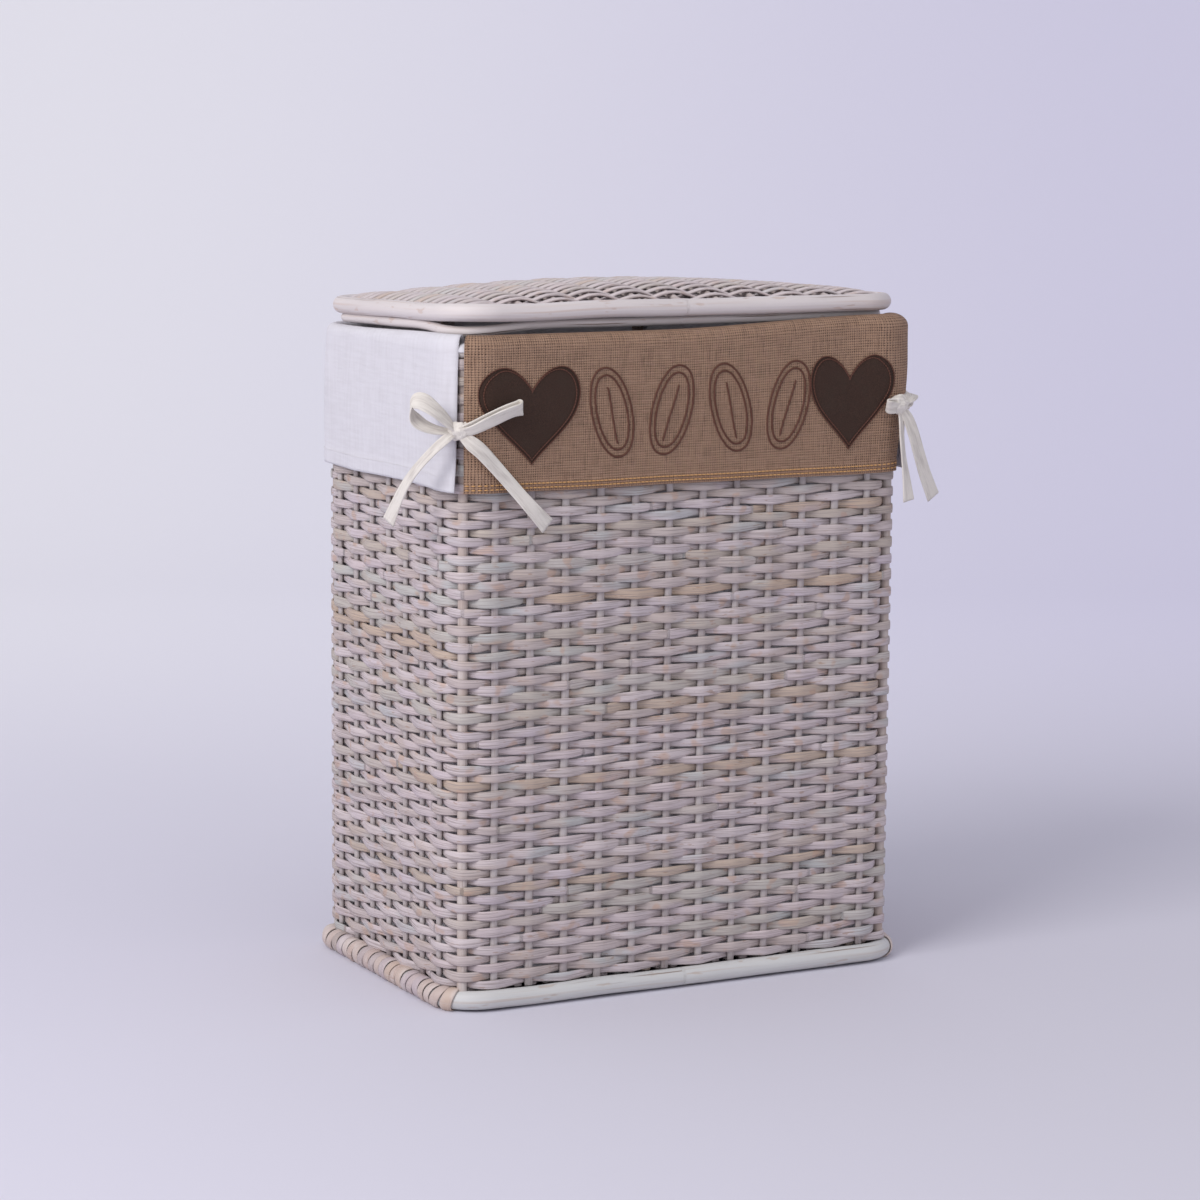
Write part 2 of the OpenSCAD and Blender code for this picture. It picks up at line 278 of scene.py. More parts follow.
def ripple(place, seed):
    """Smooth seeded noise in about -1..1: a sum of five sines of random pitch and start."""
    waves = 5
    dice = np.random.default_rng(seed)
    total = np.zeros_like(place)
    for _ in range(waves):
        total = total + np.sin(place * dice.uniform(0.4, 2.2) + dice.uniform(0, 6.28))
    return total / waves * 1.6


def bent_pole(half_x, half_y, bend, radius, height, seed, sides=28):
    """A round rod along a rounded rectangle. Its radius and its line swell and wander a little, as
    sums of sines of the distance along it. Returns the points and their place along and across."""
    length = round_path(0.0, half_x, half_y, bend)[2]
    s = np.arange(pole_rings) * length / pole_rings
    middle, outward, _ = round_path(s, half_x, half_y, bend)
    turn = full_turn(sides)
    whole = 2 * math.pi * s / length
    swell = 1 + 0.022 * ripple(np.sin(whole) * 9, seed) + 0.012 * ripple(np.cos(whole) * 14, seed + 1)
    drift = 0.0006 * ripple(np.sin(whole + 1) * 7, seed + 2)
    around = np.cos(turn)[:, None] * outward[:, None, :] + np.sin(turn)[:, None] * upwards
    points = middle[:, None, :] + (radius * 0.985 * swell)[:, None, None] * around
    points[..., 2] += height + drift[:, None]
    return points, stacked(s[:, None], radius * np.cos(turn), radius * np.sin(turn))


def painted_pole(name, coat, bare):
    """White paint over wood: long hair cracks and small scraped spots show the bare wood."""
    finish = Finish(name)
    grain = finish.mark("grain")
    streak = finish.grain(grain, (7.0, 420.0, 420.0), 3.0)
    crack = finish.grain(grain, (5.0, 260.0, 260.0), 2.0).between(0.66, 0.72)
    spot = finish.grain(grain, (38.0, 150.0, 150.0), 2.0).between(0.64, 0.70)
    cloud = finish.grain(grain, (9.0, 60.0, 60.0), 1.0)
    paint = finish.mix(cloud, coat[0], coat[1])
    paint = finish.mix(streak.between(0.50, 0.80) * 0.55, paint, bare)
    paint = finish.mix(crack * 0.8, paint, (128, 100, 84))
    paint = finish.mix(spot * 0.5, paint, bare)
    height = streak * 0.6 - crack * 0.8 - spot * 0.3
    return finish.surface(
        Base_Color=paint, Roughness=0.46 + 0.2 * streak, Normal=finish.bump(height, 0.0006)
    )


pole_paint = painted_pole("pole_paint", ((210, 210, 209), (192, 192, 192)), (182, 162, 148))

foot_low, foot_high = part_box("base_hoop")
foot_r = (foot_high.z - foot_low.z) / 2
foot_z = (foot_high.z + foot_low.z) / 2
foot_x = foot_high.x - foot_r
foot_y = foot_high.y - foot_r
foot_bend = 0.034

foot = Workpiece()
foot.add(*bent_pole(foot_x, foot_y, foot_bend, foot_r, foot_z, 11), ring_loop=True)
foot.finish("foot_pole", "basket", "pole_white", pole_paint, ["base_hoop"])

# ---- Cane bindings of the foot
# Flat cane wound tightly round the foot pole along both sides and round its corners; it hides the
# stakes' lower ends, and it is the part of the foot that touches the floor.

turn_width = 0.0115
turn_rise = 0.0021
turn_gap = 0.0002
corner_wrap = 0.024

cane_bark = Finish("cane_bark")
cane_grain = cane_bark.mark("grain")
cane_turn = cane_bark.mark("strand", "Fac")
cane_fibre = cane_bark.grain(cane_grain, (60.0, 700.0, 700.0), 3.0)
cane_cloud = cane_bark.grain(cane_grain, (40.0, 90.0, 90.0), 1.0)
cane_colour = cane_bark.ramp(
    cane_turn,
    (0.0, (190, 172, 164)),
    (0.25, (200, 184, 178)),
    (0.45, (190, 166, 148)),
    (0.6, (190, 176, 180)),
    (0.8, (172, 158, 152)),
    (1.0, (206, 190, 178)),
)
cane_colour = cane_bark.mix(cane_cloud.between(0.45, 0.75) * 0.6, cane_colour, (214, 204, 200))
cane_colour = cane_bark.mix(cane_fibre.between(0.55, 0.9) * 0.4, cane_colour, (142, 112, 92))
cane_bark.surface(
    Base_Color=cane_colour,
    Roughness=0.42 + 0.25 * cane_fibre,
    Normal=cane_bark.bump(cane_fibre, 0.0004),
)


def squared(wave, power):
    """A cosine or sine whose size is raised to a power below 1, which squares a round outline."""
    return np.sign(wave) * np.abs(wave) ** power


def wound_cane(start, end, seed):
    """Rings of cane side by side along the foot pole. Each ring is a flat oval carried round the
    pole, leaning a few degrees; where it would pass under the floor it is pressed flat."""
    dice = np.random.default_rng(seed)
    count = int(round((end - start) / turn_width))
    pitch = (end - start) / count
    middle = (start + (np.arange(count) + 0.5) * pitch)[:, None, None]
    lean = dice.uniform(-0.0012, 0.0042, count)[:, None, None]
    wide = (pitch * dice.uniform(0.41, 0.50, count))[:, None, None]
    rise = (turn_rise * dice.uniform(0.75, 1.1, count))[:, None, None]
    turn = full_turn(28)[:, None]
    oval = full_turn(10)
    s = middle + lean * np.sin(turn) + wide * squared(np.cos(oval), 0.7)
    reach = foot_r + turn_gap + rise * (0.5 + 0.5 * np.sin(oval))
    point, outward, _ = round_path(s, foot_x, foot_y, foot_bend)
    grid = point + (reach * np.cos(turn))[..., None] * outward
    grid[..., 2] = np.maximum(foot_z + reach * np.sin(turn), 0.0)
    return grid, stacked(turn * foot_r, s, reach), dice.uniform(0, 1, count)[:, None, None]


side_run = 2 * (foot_y - foot_bend)
right_start = foot_x - foot_bend + math.pi / 2 * foot_bend
foot_length = round_path(0.0, foot_x, foot_y, foot_bend)[2]
for side_name, start in (("right", right_start), ("left", foot_length - right_start - side_run)):
    grid, grain, shade = wound_cane(start - corner_wrap, start + side_run + corner_wrap, len(side_name))
    wrap = Workpiece().add(grid, grain, shade, ring_loop=True)
    bound = [f"{side_name}_base_binding"]
    wrap.finish(f"{side_name}_foot_wrap", "basket", "cane_binding", cane_bark, bound)

# ---- Woven walls
# Whitewashed willow rods, each flattened to about 8 by 2.5 mm, woven in courses round the upright
# stakes and corner posts: over one, under one, and the other way round in the next course.

rod_thick = 0.0024
rod_tall = 0.0076
stake_wide = 0.0070
stake_deep = 0.0042
steps_per_stake = 10
rod_sides = 10
row_pitch = 0.0074
foot_gap = 0.0009
corner_gap = 0.0001
rod_press = 0.0001


def washed_willow(name, lighten=0.0):
    """Thin white wash over willow. Each rod has its own shade, from lilac grey to tan, and patches
    along it where the wash is thinner, bluish or greenish; fine fibres run along it."""
    finish = Finish(name)
    grain = finish.mark("grain")
    shade = finish.mark("strand", "Fac")
    fibre = finish.grain(grain, (26.0, 900.0, 900.0), 3.0)
    patch = finish.grain(grain, (21.0, 45.0, 45.0), 1.0)
    cool = finish.grain(grain, (15.0, 33.0, 51.0), 1.0)
    fleck = finish.grain(grain, (90.0, 420.0, 420.0), 2.0).between(0.66, 0.72)
    colour = finish.ramp(
        shade,
        (0.0, (201, 186, 188)),
        (0.22, (193, 182, 186)),
        (0.42, (206, 194, 195)),
        (0.6, (188, 174, 172)),
        (0.72, (190, 178, 172)),
        (0.82, (186, 188, 186)),
        (0.93, (184, 168, 154)),
        (1.0, (192, 164, 138)),
    )
    spot = finish.grain(grain, (60.0, 70.0, 70.0), 1.0)
    colour = finish.mix(spot.between(0.60, 0.70) * 0.6, colour, (190, 154, 130))
    colour = finish.mix(patch.between(0.58, 0.70) * 0.35, colour, (188, 168, 148))
    colour = finish.mix(cool.between(0.60, 0.72) * 0.6, colour, (176, 184, 186))
    colour = finish.mix((1 - cool).between(0.62, 0.72) * 0.4, colour, (196, 182, 196))
    colour = finish.mix(fibre.between(0.42, 0.70) * 0.72, colour, (142, 128, 126))
    colour = finish.mix(fleck * 0.55, colour, (150, 112, 84))
    # lighten mixes in a near white (224, 214, 212): 0.08 for the walls, and 0.45 for the lid, where it is
    # painted light on the lid's top.
    colour = finish.mix(lighten, colour, (224, 214, 212))
    return finish.surface(
        Base_Color=colour, Roughness=0.52 + 0.2 * fibre, Normal=finish.bump(fibre, 0.0009)
    )


wash = washed_willow("willow_wash", 0.08)

rim_low, rim_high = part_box("rim_hoop")
rim_r = (rim_high.z - rim_low.z) / 2
rim_z = (rim_high.z + rim_low.z) / 2
core_x = rim_high.x - rim_r
core_y = rim_high.y - rim_r
wall_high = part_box("front_weave")[1]
core_bend = core_x - wall_high.x - corner_gap
stake_low, stake_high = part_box("front_stakes")
stake_r = (stake_high.y - stake_low.y) / 2
post_r = 0.00425
post_bite = 0.0006
front_stakes = 12
side_stakes = 7


def row(low, high, count):
    """Places of a row of stakes between the outsides of its first and last."""
    return np.linspace(low + stake_r, high - stake_r, count)


front_row = row(stake_low.x, stake_high.x, front_stakes)
side_row = row(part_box("left_stakes")[0].y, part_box("left_stakes")[1].y, side_stakes)
flat_x = core_x - core_bend
flat_y = core_y - core_bend
quarter = math.pi / 2 * core_bend
wall_round = round_path(0.0, core_x, core_y, core_bend)[2]
right_side = flat_x + quarter + flat_y + side_row
back_side = flat_x + 2 * quarter + 2 * flat_y + flat_x + front_row
half_front = front_row[front_row > 0]
uprights = np.concatenate(
    [
        half_front,
        [flat_x + quarter / 2],
        right_side,
        [flat_x + 1.5 * quarter + 2 * flat_y],
        back_side,
        [wall_round / 2 + flat_x + quarter / 2],
        right_side + wall_round / 2,
        [wall_round / 2 + flat_x + 1.5 * quarter + 2 * flat_y],
        wall_round - half_front[::-1],
    ]
)
upright_count = len(uprights)
posts = (6, 14, 27, 35)
walls = (("front", 35, 48), ("right", 6, 14), ("back", 14, 27), ("left", 27, 35))
upright_r = np.full(upright_count, stake_deep / 2)
upright_r[list(posts)] = post_r - post_bite
wrapped_numbers = np.arange(3 * upright_count) - upright_count
wrapped_places = np.concatenate([uprights - wall_round, uprights, uprights + wall_round])
wrapped_reach = np.tile(upright_r + rod_thick / 2 - rod_press, 3)
weave_low = foot_high.z + foot_gap
courses = int(round((wall_high.z - weave_low) / row_pitch))
course_pitch = (wall_high.z - weave_low) / courses

rod_dice = np.random.default_rng(2024)
joint_places = np.sort(rod_dice.uniform(0, upright_count, (courses, 4)), axis=1)
rod_shades = rod_dice.uniform(0, 1, (courses, 4)) ** 1.25
course_lift = rod_dice.uniform(-0.00045, 0.00045, courses)
course_girth = rod_dice.uniform(0.88, 1.10, courses)


def rod_section(sides):
    """Outline of a flattened rod: a rounded box from cosine and sine to the power 0.65."""
    turn = full_turn(sides)
    return squared(np.cos(turn), 0.65), squared(np.sin(turn), 0.65)


def wall_rods(first, last, parity):
    """Every second course between upright number first and last. A rod's middle swings in and out
    as a rounded zigzag of the upright's number, so it passes outside one and inside the next; it
    is tallest where it passes outside, and thins where one rod is spliced to the next."""
    steps = int(round((last - first) * steps_per_stake))
    number = np.linspace(first, last, steps + 1)
    s = np.interp(number, wrapped_numbers, wrapped_places)
    reach = np.interp(number, wrapped_numbers, wrapped_reach)
    course = np.arange(parity, courses, 2)[:, None]
    swing = np.arcsin(0.93 * np.cos(math.pi * (number + course))) / math.asin(0.93)
    joints = joint_places[parity::2, None, :]
    half_way = upright_count / 2
    nearest = np.mod(number[:, None] - joints + half_way, upright_count) - half_way
    splice = np.exp(-((nearest / 0.07) ** 2)).sum(-1)
    which = (np.mod(number, upright_count)[:, None] > joints).sum(-1) % 4
    shade = np.take_along_axis(rod_shades[parity::2], which, axis=1)
    girth = course_girth[parity::2, None] * (1 + 0.07 * (shade - 0.4)) * (1 - 0.22 * splice)
    tall = (rod_tall + 0.0011 * swing) * girth * (1 + 0.07 * ripple(s / 0.03 + 3.1 * course, 32))
    wander = 0.0006 * ripple(s / 0.05 + 0.35 * course, 31) + 0.0003 * np.sin(s / 0.017 + 2.3 * course)
    height = weave_low + (course + 0.5) * course_pitch + course_lift[parity::2, None] + wander
    point, outward, _ = round_path(s, core_x, core_y, core_bend)
    middle = point + (reach * swing)[..., None] * outward
    depth, rise = rod_section(rod_sides)
    thick = rod_thick / 2 * (1 + 0.06 * np.sin(s / 0.033 + 1.7 * course)) * (1 - 0.15 * splice)
    deep = thick[..., None] * depth
    high = tall[..., None] / 2 * rise
    grid = middle[:, :, None, :] + deep[..., None] * outward[None, :, None, :]
    grid[..., 2] = height[..., None] + high
    along = (s + 1.37 * course + 0.8 * which)[..., None]
    return grid, stacked(along, high + 0.011 * course[..., None], deep), shade[..., None]


def woven_between(piece, first, last):
    """Adds the courses from one post to the next. A course that passes outside a post belongs to
    the corner, so it starts or ends one stake further in, where it is hidden behind that stake."""
    for parity in (0, 1):
        outside = [(number + parity) % 2 == 0 for number in (first, last)]
        piece.add(*wall_rods(first + outside[0], last - outside[1], parity))


for wall_name, first, last in walls:
    wall = Workpiece()
    woven_between(wall, first, last)
    wall.finish(f"{wall_name}_willow", "basket", "wicker", wash, [f"{wall_name}_weave"])
corners = Workpiece()
for post in posts:
    corners.add(*wall_rods(post - 1, post + 1, post % 2))
corners.finish("corner_willow", "basket", "wicker", wash, ["corner_weave"])

# ---- Stakes and corner posts
# Oval willow stakes of about 7 by 4 mm and four round corner posts, set upright in the foot; they
# carry the courses, and show as pale upright bars between them.


def upright_finish(name, light, dark):
    """Washed round wood: pale, with fine fibres along Z and darker scraped places."""
    finish = Finish(name)
    place = finish.place()
    fibre = finish.grain(place, (900.0, 900.0, 30.0), 3.0)
    cloud = finish.grain(place, (60.0, 60.0, 25.0), 1.0)
    colour = finish.mix(cloud.between(0.35, 0.65), light, dark)
    colour = finish.mix(fibre.between(0.5, 0.8) * 0.5, colour, (150, 128, 116))
    return finish.surface(
        Base_Color=colour, Roughness=0.55 + 0.15 * fibre, Normal=finish.bump(fibre, 0.0004)
    )


stake_wash = upright_finish("stake_wash", (188, 180, 179), (168, 158, 158))
post_wash = upright_finish("post_wash", (198, 188, 184), (180, 164, 156))


def stake_row(places, low, high, seed):
    """Oval rods standing at these distances along the wall, each leaning and wandering a little."""
    dice = np.random.default_rng(seed)
    point, outward, _ = round_path(places, core_x, core_y, core_bend)
    beside = np.cross(outward, upwards)
    height = np.linspace(low, high, 40)
    stray = 0.0006 * ripple(height[None, :] / 0.06 + dice.uniform(0, 50, (len(places), 1)), seed)
    turn = -full_turn(12)
    wide = stake_wide / 2 * dice.uniform(0.88, 1.06, len(places))
    aside = stray[:, :, None] + (wide[:, None] * np.cos(turn))[:, None, :]
    out = (stake_deep / 2 * np.sin(turn))[:, None]
    grid = point[:, None, None, :] + aside[..., None] * beside[:, None, None, :]
    grid = grid + out * outward[:, None, None, :]
    grid[..., 2] = height[:, None]
    return grid


def refinish(node_name, finish):
    """Gives its finish to a piece that keeps the shape it has in the frame."""
    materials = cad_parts[node_name].data.materials
    materials.clear()
    materials.append(finish.material)


for wall_name, first, last in walls:
    places = uprights[np.arange(first + 1, last) % upright_count]
    stakes = Workpiece().add(stake_row(places, stake_low.z, stake_high.z, len(wall_name)))
    stakes.finish(f"{wall_name}_stake_row", "basket", "wicker_stake", stake_wash, [f"{wall_name}_stakes"])
refinish("corner_posts", post_wash)
refinish("rim_hoop", upright_finish("rim_wash", (214, 208, 204), (200, 192, 188)))

# ---- Floor panel
# The floor is woven too: sticks run along the length, and willow rods pass over and under them
# from front to back, trimmed against the inside of the foot pole.

floor_low, floor_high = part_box("base_weave")
floor_z = (floor_low.z + floor_high.z) / 2
floor_bend = 0.026
stick_gap = 0.044
stick_r = 0.0028
floor_rods = 60
floor_inset = 0.004
floor_rod_tall = 0.0068
floor_rod_thick = 0.0024


def flat_woven(ends, lines, across, swing_reach, tall, thick, height, seed, sides=8):
    """Straight rods side by side in a panel. ends is each rod's half length and lines its place to
    the side; across is the pitch of the sticks that it passes over and under, and height is a
    function of the two places. Returns grids in the order (along, side, height)."""
    dice = np.random.default_rng(seed)
    count = len(lines)
    rings = int(round(2 * max(ends) / across * steps_per_stake)) + 1
    along = np.linspace(-1, 1, rings)[None, :] * np.asarray(ends)[:, None]
    side = np.asarray(lines)[:, None]
    swing = np.cos(math.pi * (along / across + np.arange(count)[:, None]))
    middle = height(along, side) + swing_reach * swing
    girth = dice.uniform(0.9, 1.06, count)[:, None]
    depth, rise = rod_section(sides)
    wander = 0.0004 * ripple(along / 0.05 + side * 31, seed + 1)
    wide = (tall * (1 + 0.13 * swing) * girth)[..., None] / 2 * rise
    deep = thick / 2 * depth
    grid = stacked(along[..., None], (side + wander)[..., None] + wide, middle[..., None] + deep)
    grain = stacked((along + side * 57)[..., None], wide + side[..., None], deep)
    return grid, grain, dice.uniform(0, 1, count)[:, None, None] ** 1.2


def half_width(place, half_x, half_y, bend):
    """Half the width of a rounded rectangle at this distance from its middle line."""
    over = np.clip(np.abs(place) - (half_y - bend), 0, bend)
    return half_x - bend + np.sqrt(np.maximum(bend**2 - over**2, 1e-10))


floor_half_x = floor_high.x - 0.001
floor_lines = np.linspace(-floor_half_x + floor_inset, floor_half_x - floor_inset, floor_rods)
floor_ends = half_width(floor_lines, floor_high.y - 0.0005, floor_half_x, floor_bend)
grid, grain, shade = flat_woven(
    floor_ends,
    floor_lines,
    stick_gap,
    stick_r + 0.0011,
    floor_rod_tall,
    floor_rod_thick,
    lambda along, side: floor_z,
    5,
)
grid = grid[..., [1, 0, 2]][:, ::-1]
floor_panel = Workpiece().add(grid, grain[:, ::-1], shade)
floor_panel.finish("floor_willow", "basket", "wicker", wash, ["base_weave"])
stick_wash = upright_finish("stick_wash", (200, 190, 188), (180, 168, 166))
refinish("base_sticks", stick_wash)

# ---- Cotton liner
# A white cotton bag hangs inside the walls; its top is folded over the rim hoop and hangs outside as
# a flap with a 14 mm hem. Two slots in the fold let the lid's cane loops through.

skirt_low, skirt_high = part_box("liner_skirt")
bag_low, bag_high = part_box("liner_bag")
cotton_t = 0.0012
fold_r = skirt_high.z - rim_z - cotton_t / 2
fold_seam = 0.012
fold_run = math.pi * fold_r
flap_drop = rim_z - skirt_low.z
fold_whole = fold_seam + fold_run + flap_drop
slit_heading = math.radians(48)
flap_start = flat_x + core_bend * slit_heading
loop_low, loop_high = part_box("hinge_loops")
slot_half = 0.0078
slot_drop = 0.014
fold_loft = 0.0075
loop_wide = 0.014
loop_middles = np.array([loop_low.x + loop_wide / 2, loop_high.x - loop_wide / 2])
cotton_rate = 5200

cotton = Finish("cotton_cloth")
cotton_place = cotton.mark("grain")
cotton_u, cotton_v, _ = cotton.part_of(cotton_place)
cotton_weave = (cotton_u * cotton_rate).sine() * (cotton_v * cotton_rate).sine()
upright_slub = cotton.grain(cotton_place, (260.0, 30.0, 1.0), 3.0)
level_slub = cotton.grain(cotton_place, (30.0, 260.0, 1.0), 3.0)
cotton_slub = upright_slub + level_slub
cotton_crease = cotton.grain(cotton_place, (26.0, 18.0, 1.0), 2.0)
cotton_colour = cotton.mix(cotton_slub.between(0.7, 1.4) * 0.5, (219, 217, 223), (203, 200, 205))
cotton.surface(
    Base_Color=cotton_colour,
    Roughness=0.85,
    Normal=cotton.bump(cotton_weave * 0.25 + cotton_slub * 0.6 + cotton_crease * 3.0, 0.0005),
)


def soft_step(value, low, high):
    """0 below low, 1 above high, and a cubic slope between them."""
    t = np.clip((value - low) / (high - low), 0, 1)
    return t * t * (3 - 2 * t)


def beside_wall(s, out, height):
    """Point at distance s along the wall's middle line, moved outwards by out, at this height."""
    point, outward, _ = round_path(s, core_x, core_y, core_bend)
    placed = point + np.asarray(out)[..., None] * outward
    placed[..., 2] = height
    return placed


def off_post(s):
    """1 at each corner post and 0 a stake away from it, as a bell curve of the distance along."""
    bell = 0.0
    for post in posts:
        bell = bell + np.exp(-(((s - uprights[post]) / 0.016) ** 2))
    return bell


def loop_slot(s):
    """1 where the fold is cut away for a hinge loop at the back, else 0."""
    back_x = -(s - wall_round / 2)
    near = np.abs(back_x[..., None] - loop_middles).min(-1)
    return 1 - soft_step(near, slot_half, slot_half + 0.0004)


def sampled(first, last, pitch):
    """Even distances along the wall, with extra ones at both edges of the two loop slots."""
    even = np.linspace(first, last, int(round((last - first) / pitch)) + 1)
    slots = wall_round / 2 + loop_middles
    steps = (-0.0002, 0.0001, 0.0005)
    extra = np.concatenate([slots + side * (slot_half + step) for side in (-1, 1) for step in steps])
    return np.sort(np.concatenate([even, extra[(extra > first) & (extra < last)]]))


def slack(s):
    """How loosely the fold stands up on the rim: 0 along the back, 1 along the front."""
    place = round_path(s, core_x, core_y, core_bend)[0][..., 1]
    return np.clip((core_y - 0.03 - place) / (2 * core_y - 0.03), 0, 1)


def flap_surface(s, share):
    """Cloth of the fold: up inside the rim, half round it and down outside, as distance along the
    profile. Outside it stands a little off the rods, waves more towards the hem, bellies out
    between rim and hem, and flares at the corners of the front slits; the hem is a step thicker."""
    length = fold_whole + 0.0016 * ripple(s / 0.05, 71)
    start = loop_slot(s) * (fold_seam + fold_run + slot_drop)
    along = start + share * (length - start)
    angle = np.clip((along - fold_seam) / fold_r, 0, math.pi)
    drop = np.clip(along - fold_seam - fold_run, 0, None)
    hang = drop / flap_drop
    slit = np.minimum(np.abs(s - flap_start), np.abs(s - (wall_round - flap_start)))
    wave = 0.0007 * hang**1.3 * (1.5 + ripple(s / 0.024, 72)) + 0.0004 * hang * ripple(s / 0.009, 73)
    belly = 0.0011 * np.sin(math.pi * np.clip(hang, 0, 1)) * (1 + 0.8 * ripple(s / 0.09, 74))
    flare = 0.0065 * np.exp(-slit / 0.012) * hang**3
    post = 0.0010 * off_post(s) * soft_step(drop, 0.0, 0.02)
    hem = 0.0006 * soft_step(along, length - 0.0145, length - 0.0135)
    out = -fold_r * np.cos(angle) + wave + belly + flare + post + hem
    loft = fold_loft * soft_step(slack(s), 0.0, 1.0) * np.sin(angle) ** 0.8
    height = rim_z + fold_r * np.sin(angle) + loft - np.clip(fold_seam - along, 0, None) - drop
    return beside_wall(s, out, height), stacked(s, along, 0.0)


flap_s = sampled(flap_start, wall_round - flap_start, 0.0034)[:, None]
grid, grain = flap_surface(flap_s, np.linspace(1, 0, 64))
flap = Workpiece().add(grid, grain, side_loop=False)
front_s = np.linspace(-flap_start, flap_start, 150)[:, None]
front_fold = np.linspace(math.pi, 0, 24)
front_up = rim_z + fold_r * np.sin(front_fold)
front_grid = beside_wall(front_s, -fold_r * np.cos(front_fold), front_up)
flap.add(front_grid, stacked(front_s, fold_r * front_fold, 0.0), side_loop=False)
cotton_flap = flap.finish("cotton_flap", "basket", "cotton", cotton, ["liner_skirt"])


def thicken(piece, thickness):
    """Gives a cloth surface its thickness, half of it to each side."""
    solid = piece.modifiers.new("thickness", "SOLIDIFY")
    solid.thickness = thickness
    solid.offset = 0.0


thicken(cotton_flap, cotton_t * 0.92)
(wall_round - 2 * flap_start) * fold_whole + 2 * flap_start * fold_run

bag_run = sampled(0.0, wall_round, 0.0060)[:-1][:, None]
bag_x = core_x - fold_r
bag_y = core_y - fold_r
bag_floor = bag_low.z + cotton_t / 2
bag_gap = 0.0002
down = np.linspace(0, 1, 60)
bag_top = rim_z - bag_gap - loop_slot(bag_run) * slot_drop
bag_height = bag_top + (bag_floor - bag_top) * down
sag = np.sin(math.pi * down) ** 0.7 * (1 + ripple(bag_run / 0.045 + 1.5 * down, 81))
sag = 0.0016 * sag + 0.0012 * soft_step(down, 0.8, 1.0) * (1 + ripple(bag_run / 0.02, 82))
wall_part = beside_wall(bag_run, -fold_r - bag_gap - sag, bag_height)
inward = np.linspace(0.97, 0.0, 30)[:, None]
floor_part = wall_part[:, -1:, :] * inward
rumple = 0.0016 * (1 + ripple(floor_part[..., 0] / 0.03 + floor_part[..., 1] / 0.05, 83))
floor_part[..., 2] = bag_floor + rumple * (1 - inward[:, 0] ** 6)
bag_grid = np.concatenate([wall_part, floor_part], 1)
bag_along = np.concatenate([rim_z - bag_height, 0.54 + 0.14 * (1 - inward[:, 0]) + 0 * bag_run], 1)
bag_grain = stacked(bag_run, bag_along, 0.0)
bag = Workpiece().add(bag_grid, bag_grain, ring_loop=True, side_loop=False)
cotton_bag = bag.finish("cotton_bag", "basket", "cotton", cotton, ["liner_bag"])
thicken(cotton_bag, cotton_t * 0.9)
bag_side = bag_high.z - bag_low.z
wall_round * bag_side + 4 * bag_x * bag_y


def unit(vectors):
    """The same directions, each made 1 long."""
    return vectors / np.linalg.norm(vectors, axis=-1, keepdims=True)


def stitches(place, along, out, length, thick):
    """Short raised stitches: each is a spindle along its direction, thickest in the middle, whose
    middle line arches off the cloth."""
    part = np.linspace(-1, 1, 5)
    girth = np.sqrt(1 - 0.85 * part**2)
    turn = full_turn(6)[:, None]
    across = np.cross(out, along)
    middle = place[:, None, :] + length / 2 * part[:, None] * along[:, None, :]
    middle = middle + thick * 0.25 * (1 - part**2)[:, None] * out[:, None, :]
    ring = np.cos(turn) * out[:, None, None, :] + np.sin(turn) * across[:, None, None, :]
    return middle[:, :, None, :] + (thick / 2 * girth)[:, None, None] * ring


def slopes(points):
    """Directions along the first way of a grid of points and out of it. They come from the
    differences between neighbours and the cross product of both ways."""
    first = unit(np.gradient(points, axis=0))
    second = unit(np.gradient(points, axis=1))
    return first, unit(np.cross(first, second))


hem_s = np.arange(flap_start + 0.004, wall_round - flap_start - 0.004, 0.0034)
hem_grid, _ = flap_surface(hem_s[:, None], 1 - np.array([0.0122, 0.0118]) / fold_whole)
hem_along, _ = slopes(hem_grid)
hem_out = round_path(hem_s, core_x, core_y, core_bend)[1]
thread_white = Finish("white_thread")
white_twist = thread_white.grain(thread_white.place(), (2000.0, 2000.0, 2000.0))
white_colour = thread_white.mix(white_twist, (226, 223, 224), (206, 203, 206))
thread_white.surface(Base_Color=white_colour, Roughness=0.7)
hem_place = hem_grid[:, 0] + 0.0007 * hem_out
flap_seam = Workpiece().add(stitches(hem_place, hem_along[:, 0], hem_out, 0.0024, 0.0005))
flap_seam.finish("flap_hem_stitches", "basket", "cotton", thread_white)

# ---- Burlap band
# Coarse jute burlap covers the front of the fold from corner to corner and rolls over the rim, with
# a folded lower hem held by two rows of golden topstitching.

band_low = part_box("burlap_band")[0]
burlap_t = 0.0018
band_hem = 0.009
edge_lean = 0.009
band_reach = -core_y - band_low.y - burlap_t / 2 - 0.0001
band_left = flat_x + core_bend * math.radians(39)
band_right = flat_x + core_bend * math.radians(54)
right_rise = 0.0075
right_puff = 0.0055
roll_lift = 0.0025
roll_rise = 0.0105
band_rise = rim_z + roll_lift - band_low.z
roll_turn = math.radians(112)
roll_run = roll_turn * (band_reach + roll_rise) / 2

burlap = Finish("burlap_cloth")
burlap_place = burlap.mark("grain")
burlap_u, burlap_v, _ = burlap.part_of(burlap_place)
thread_rate = math.pi / 0.0021
upright_noise = burlap.grain(burlap_place, (760.0, 60.0, 1.0), 2.0)
level_noise = burlap.grain(burlap_place, (60.0, 760.0, 1.0), 2.0)
warp = ((burlap_u + upright_noise * 0.0014) * thread_rate).sine()
weft = ((burlap_v + level_noise * 0.0014) * thread_rate).sine()
over = warp * weft
warp_top = abs(warp).between(0.05, 0.9) * (0.5 + 0.5 * over)
weft_top = abs(weft).between(0.05, 0.9) * (0.5 - 0.5 * over)
thread_top = warp_top + weft_top
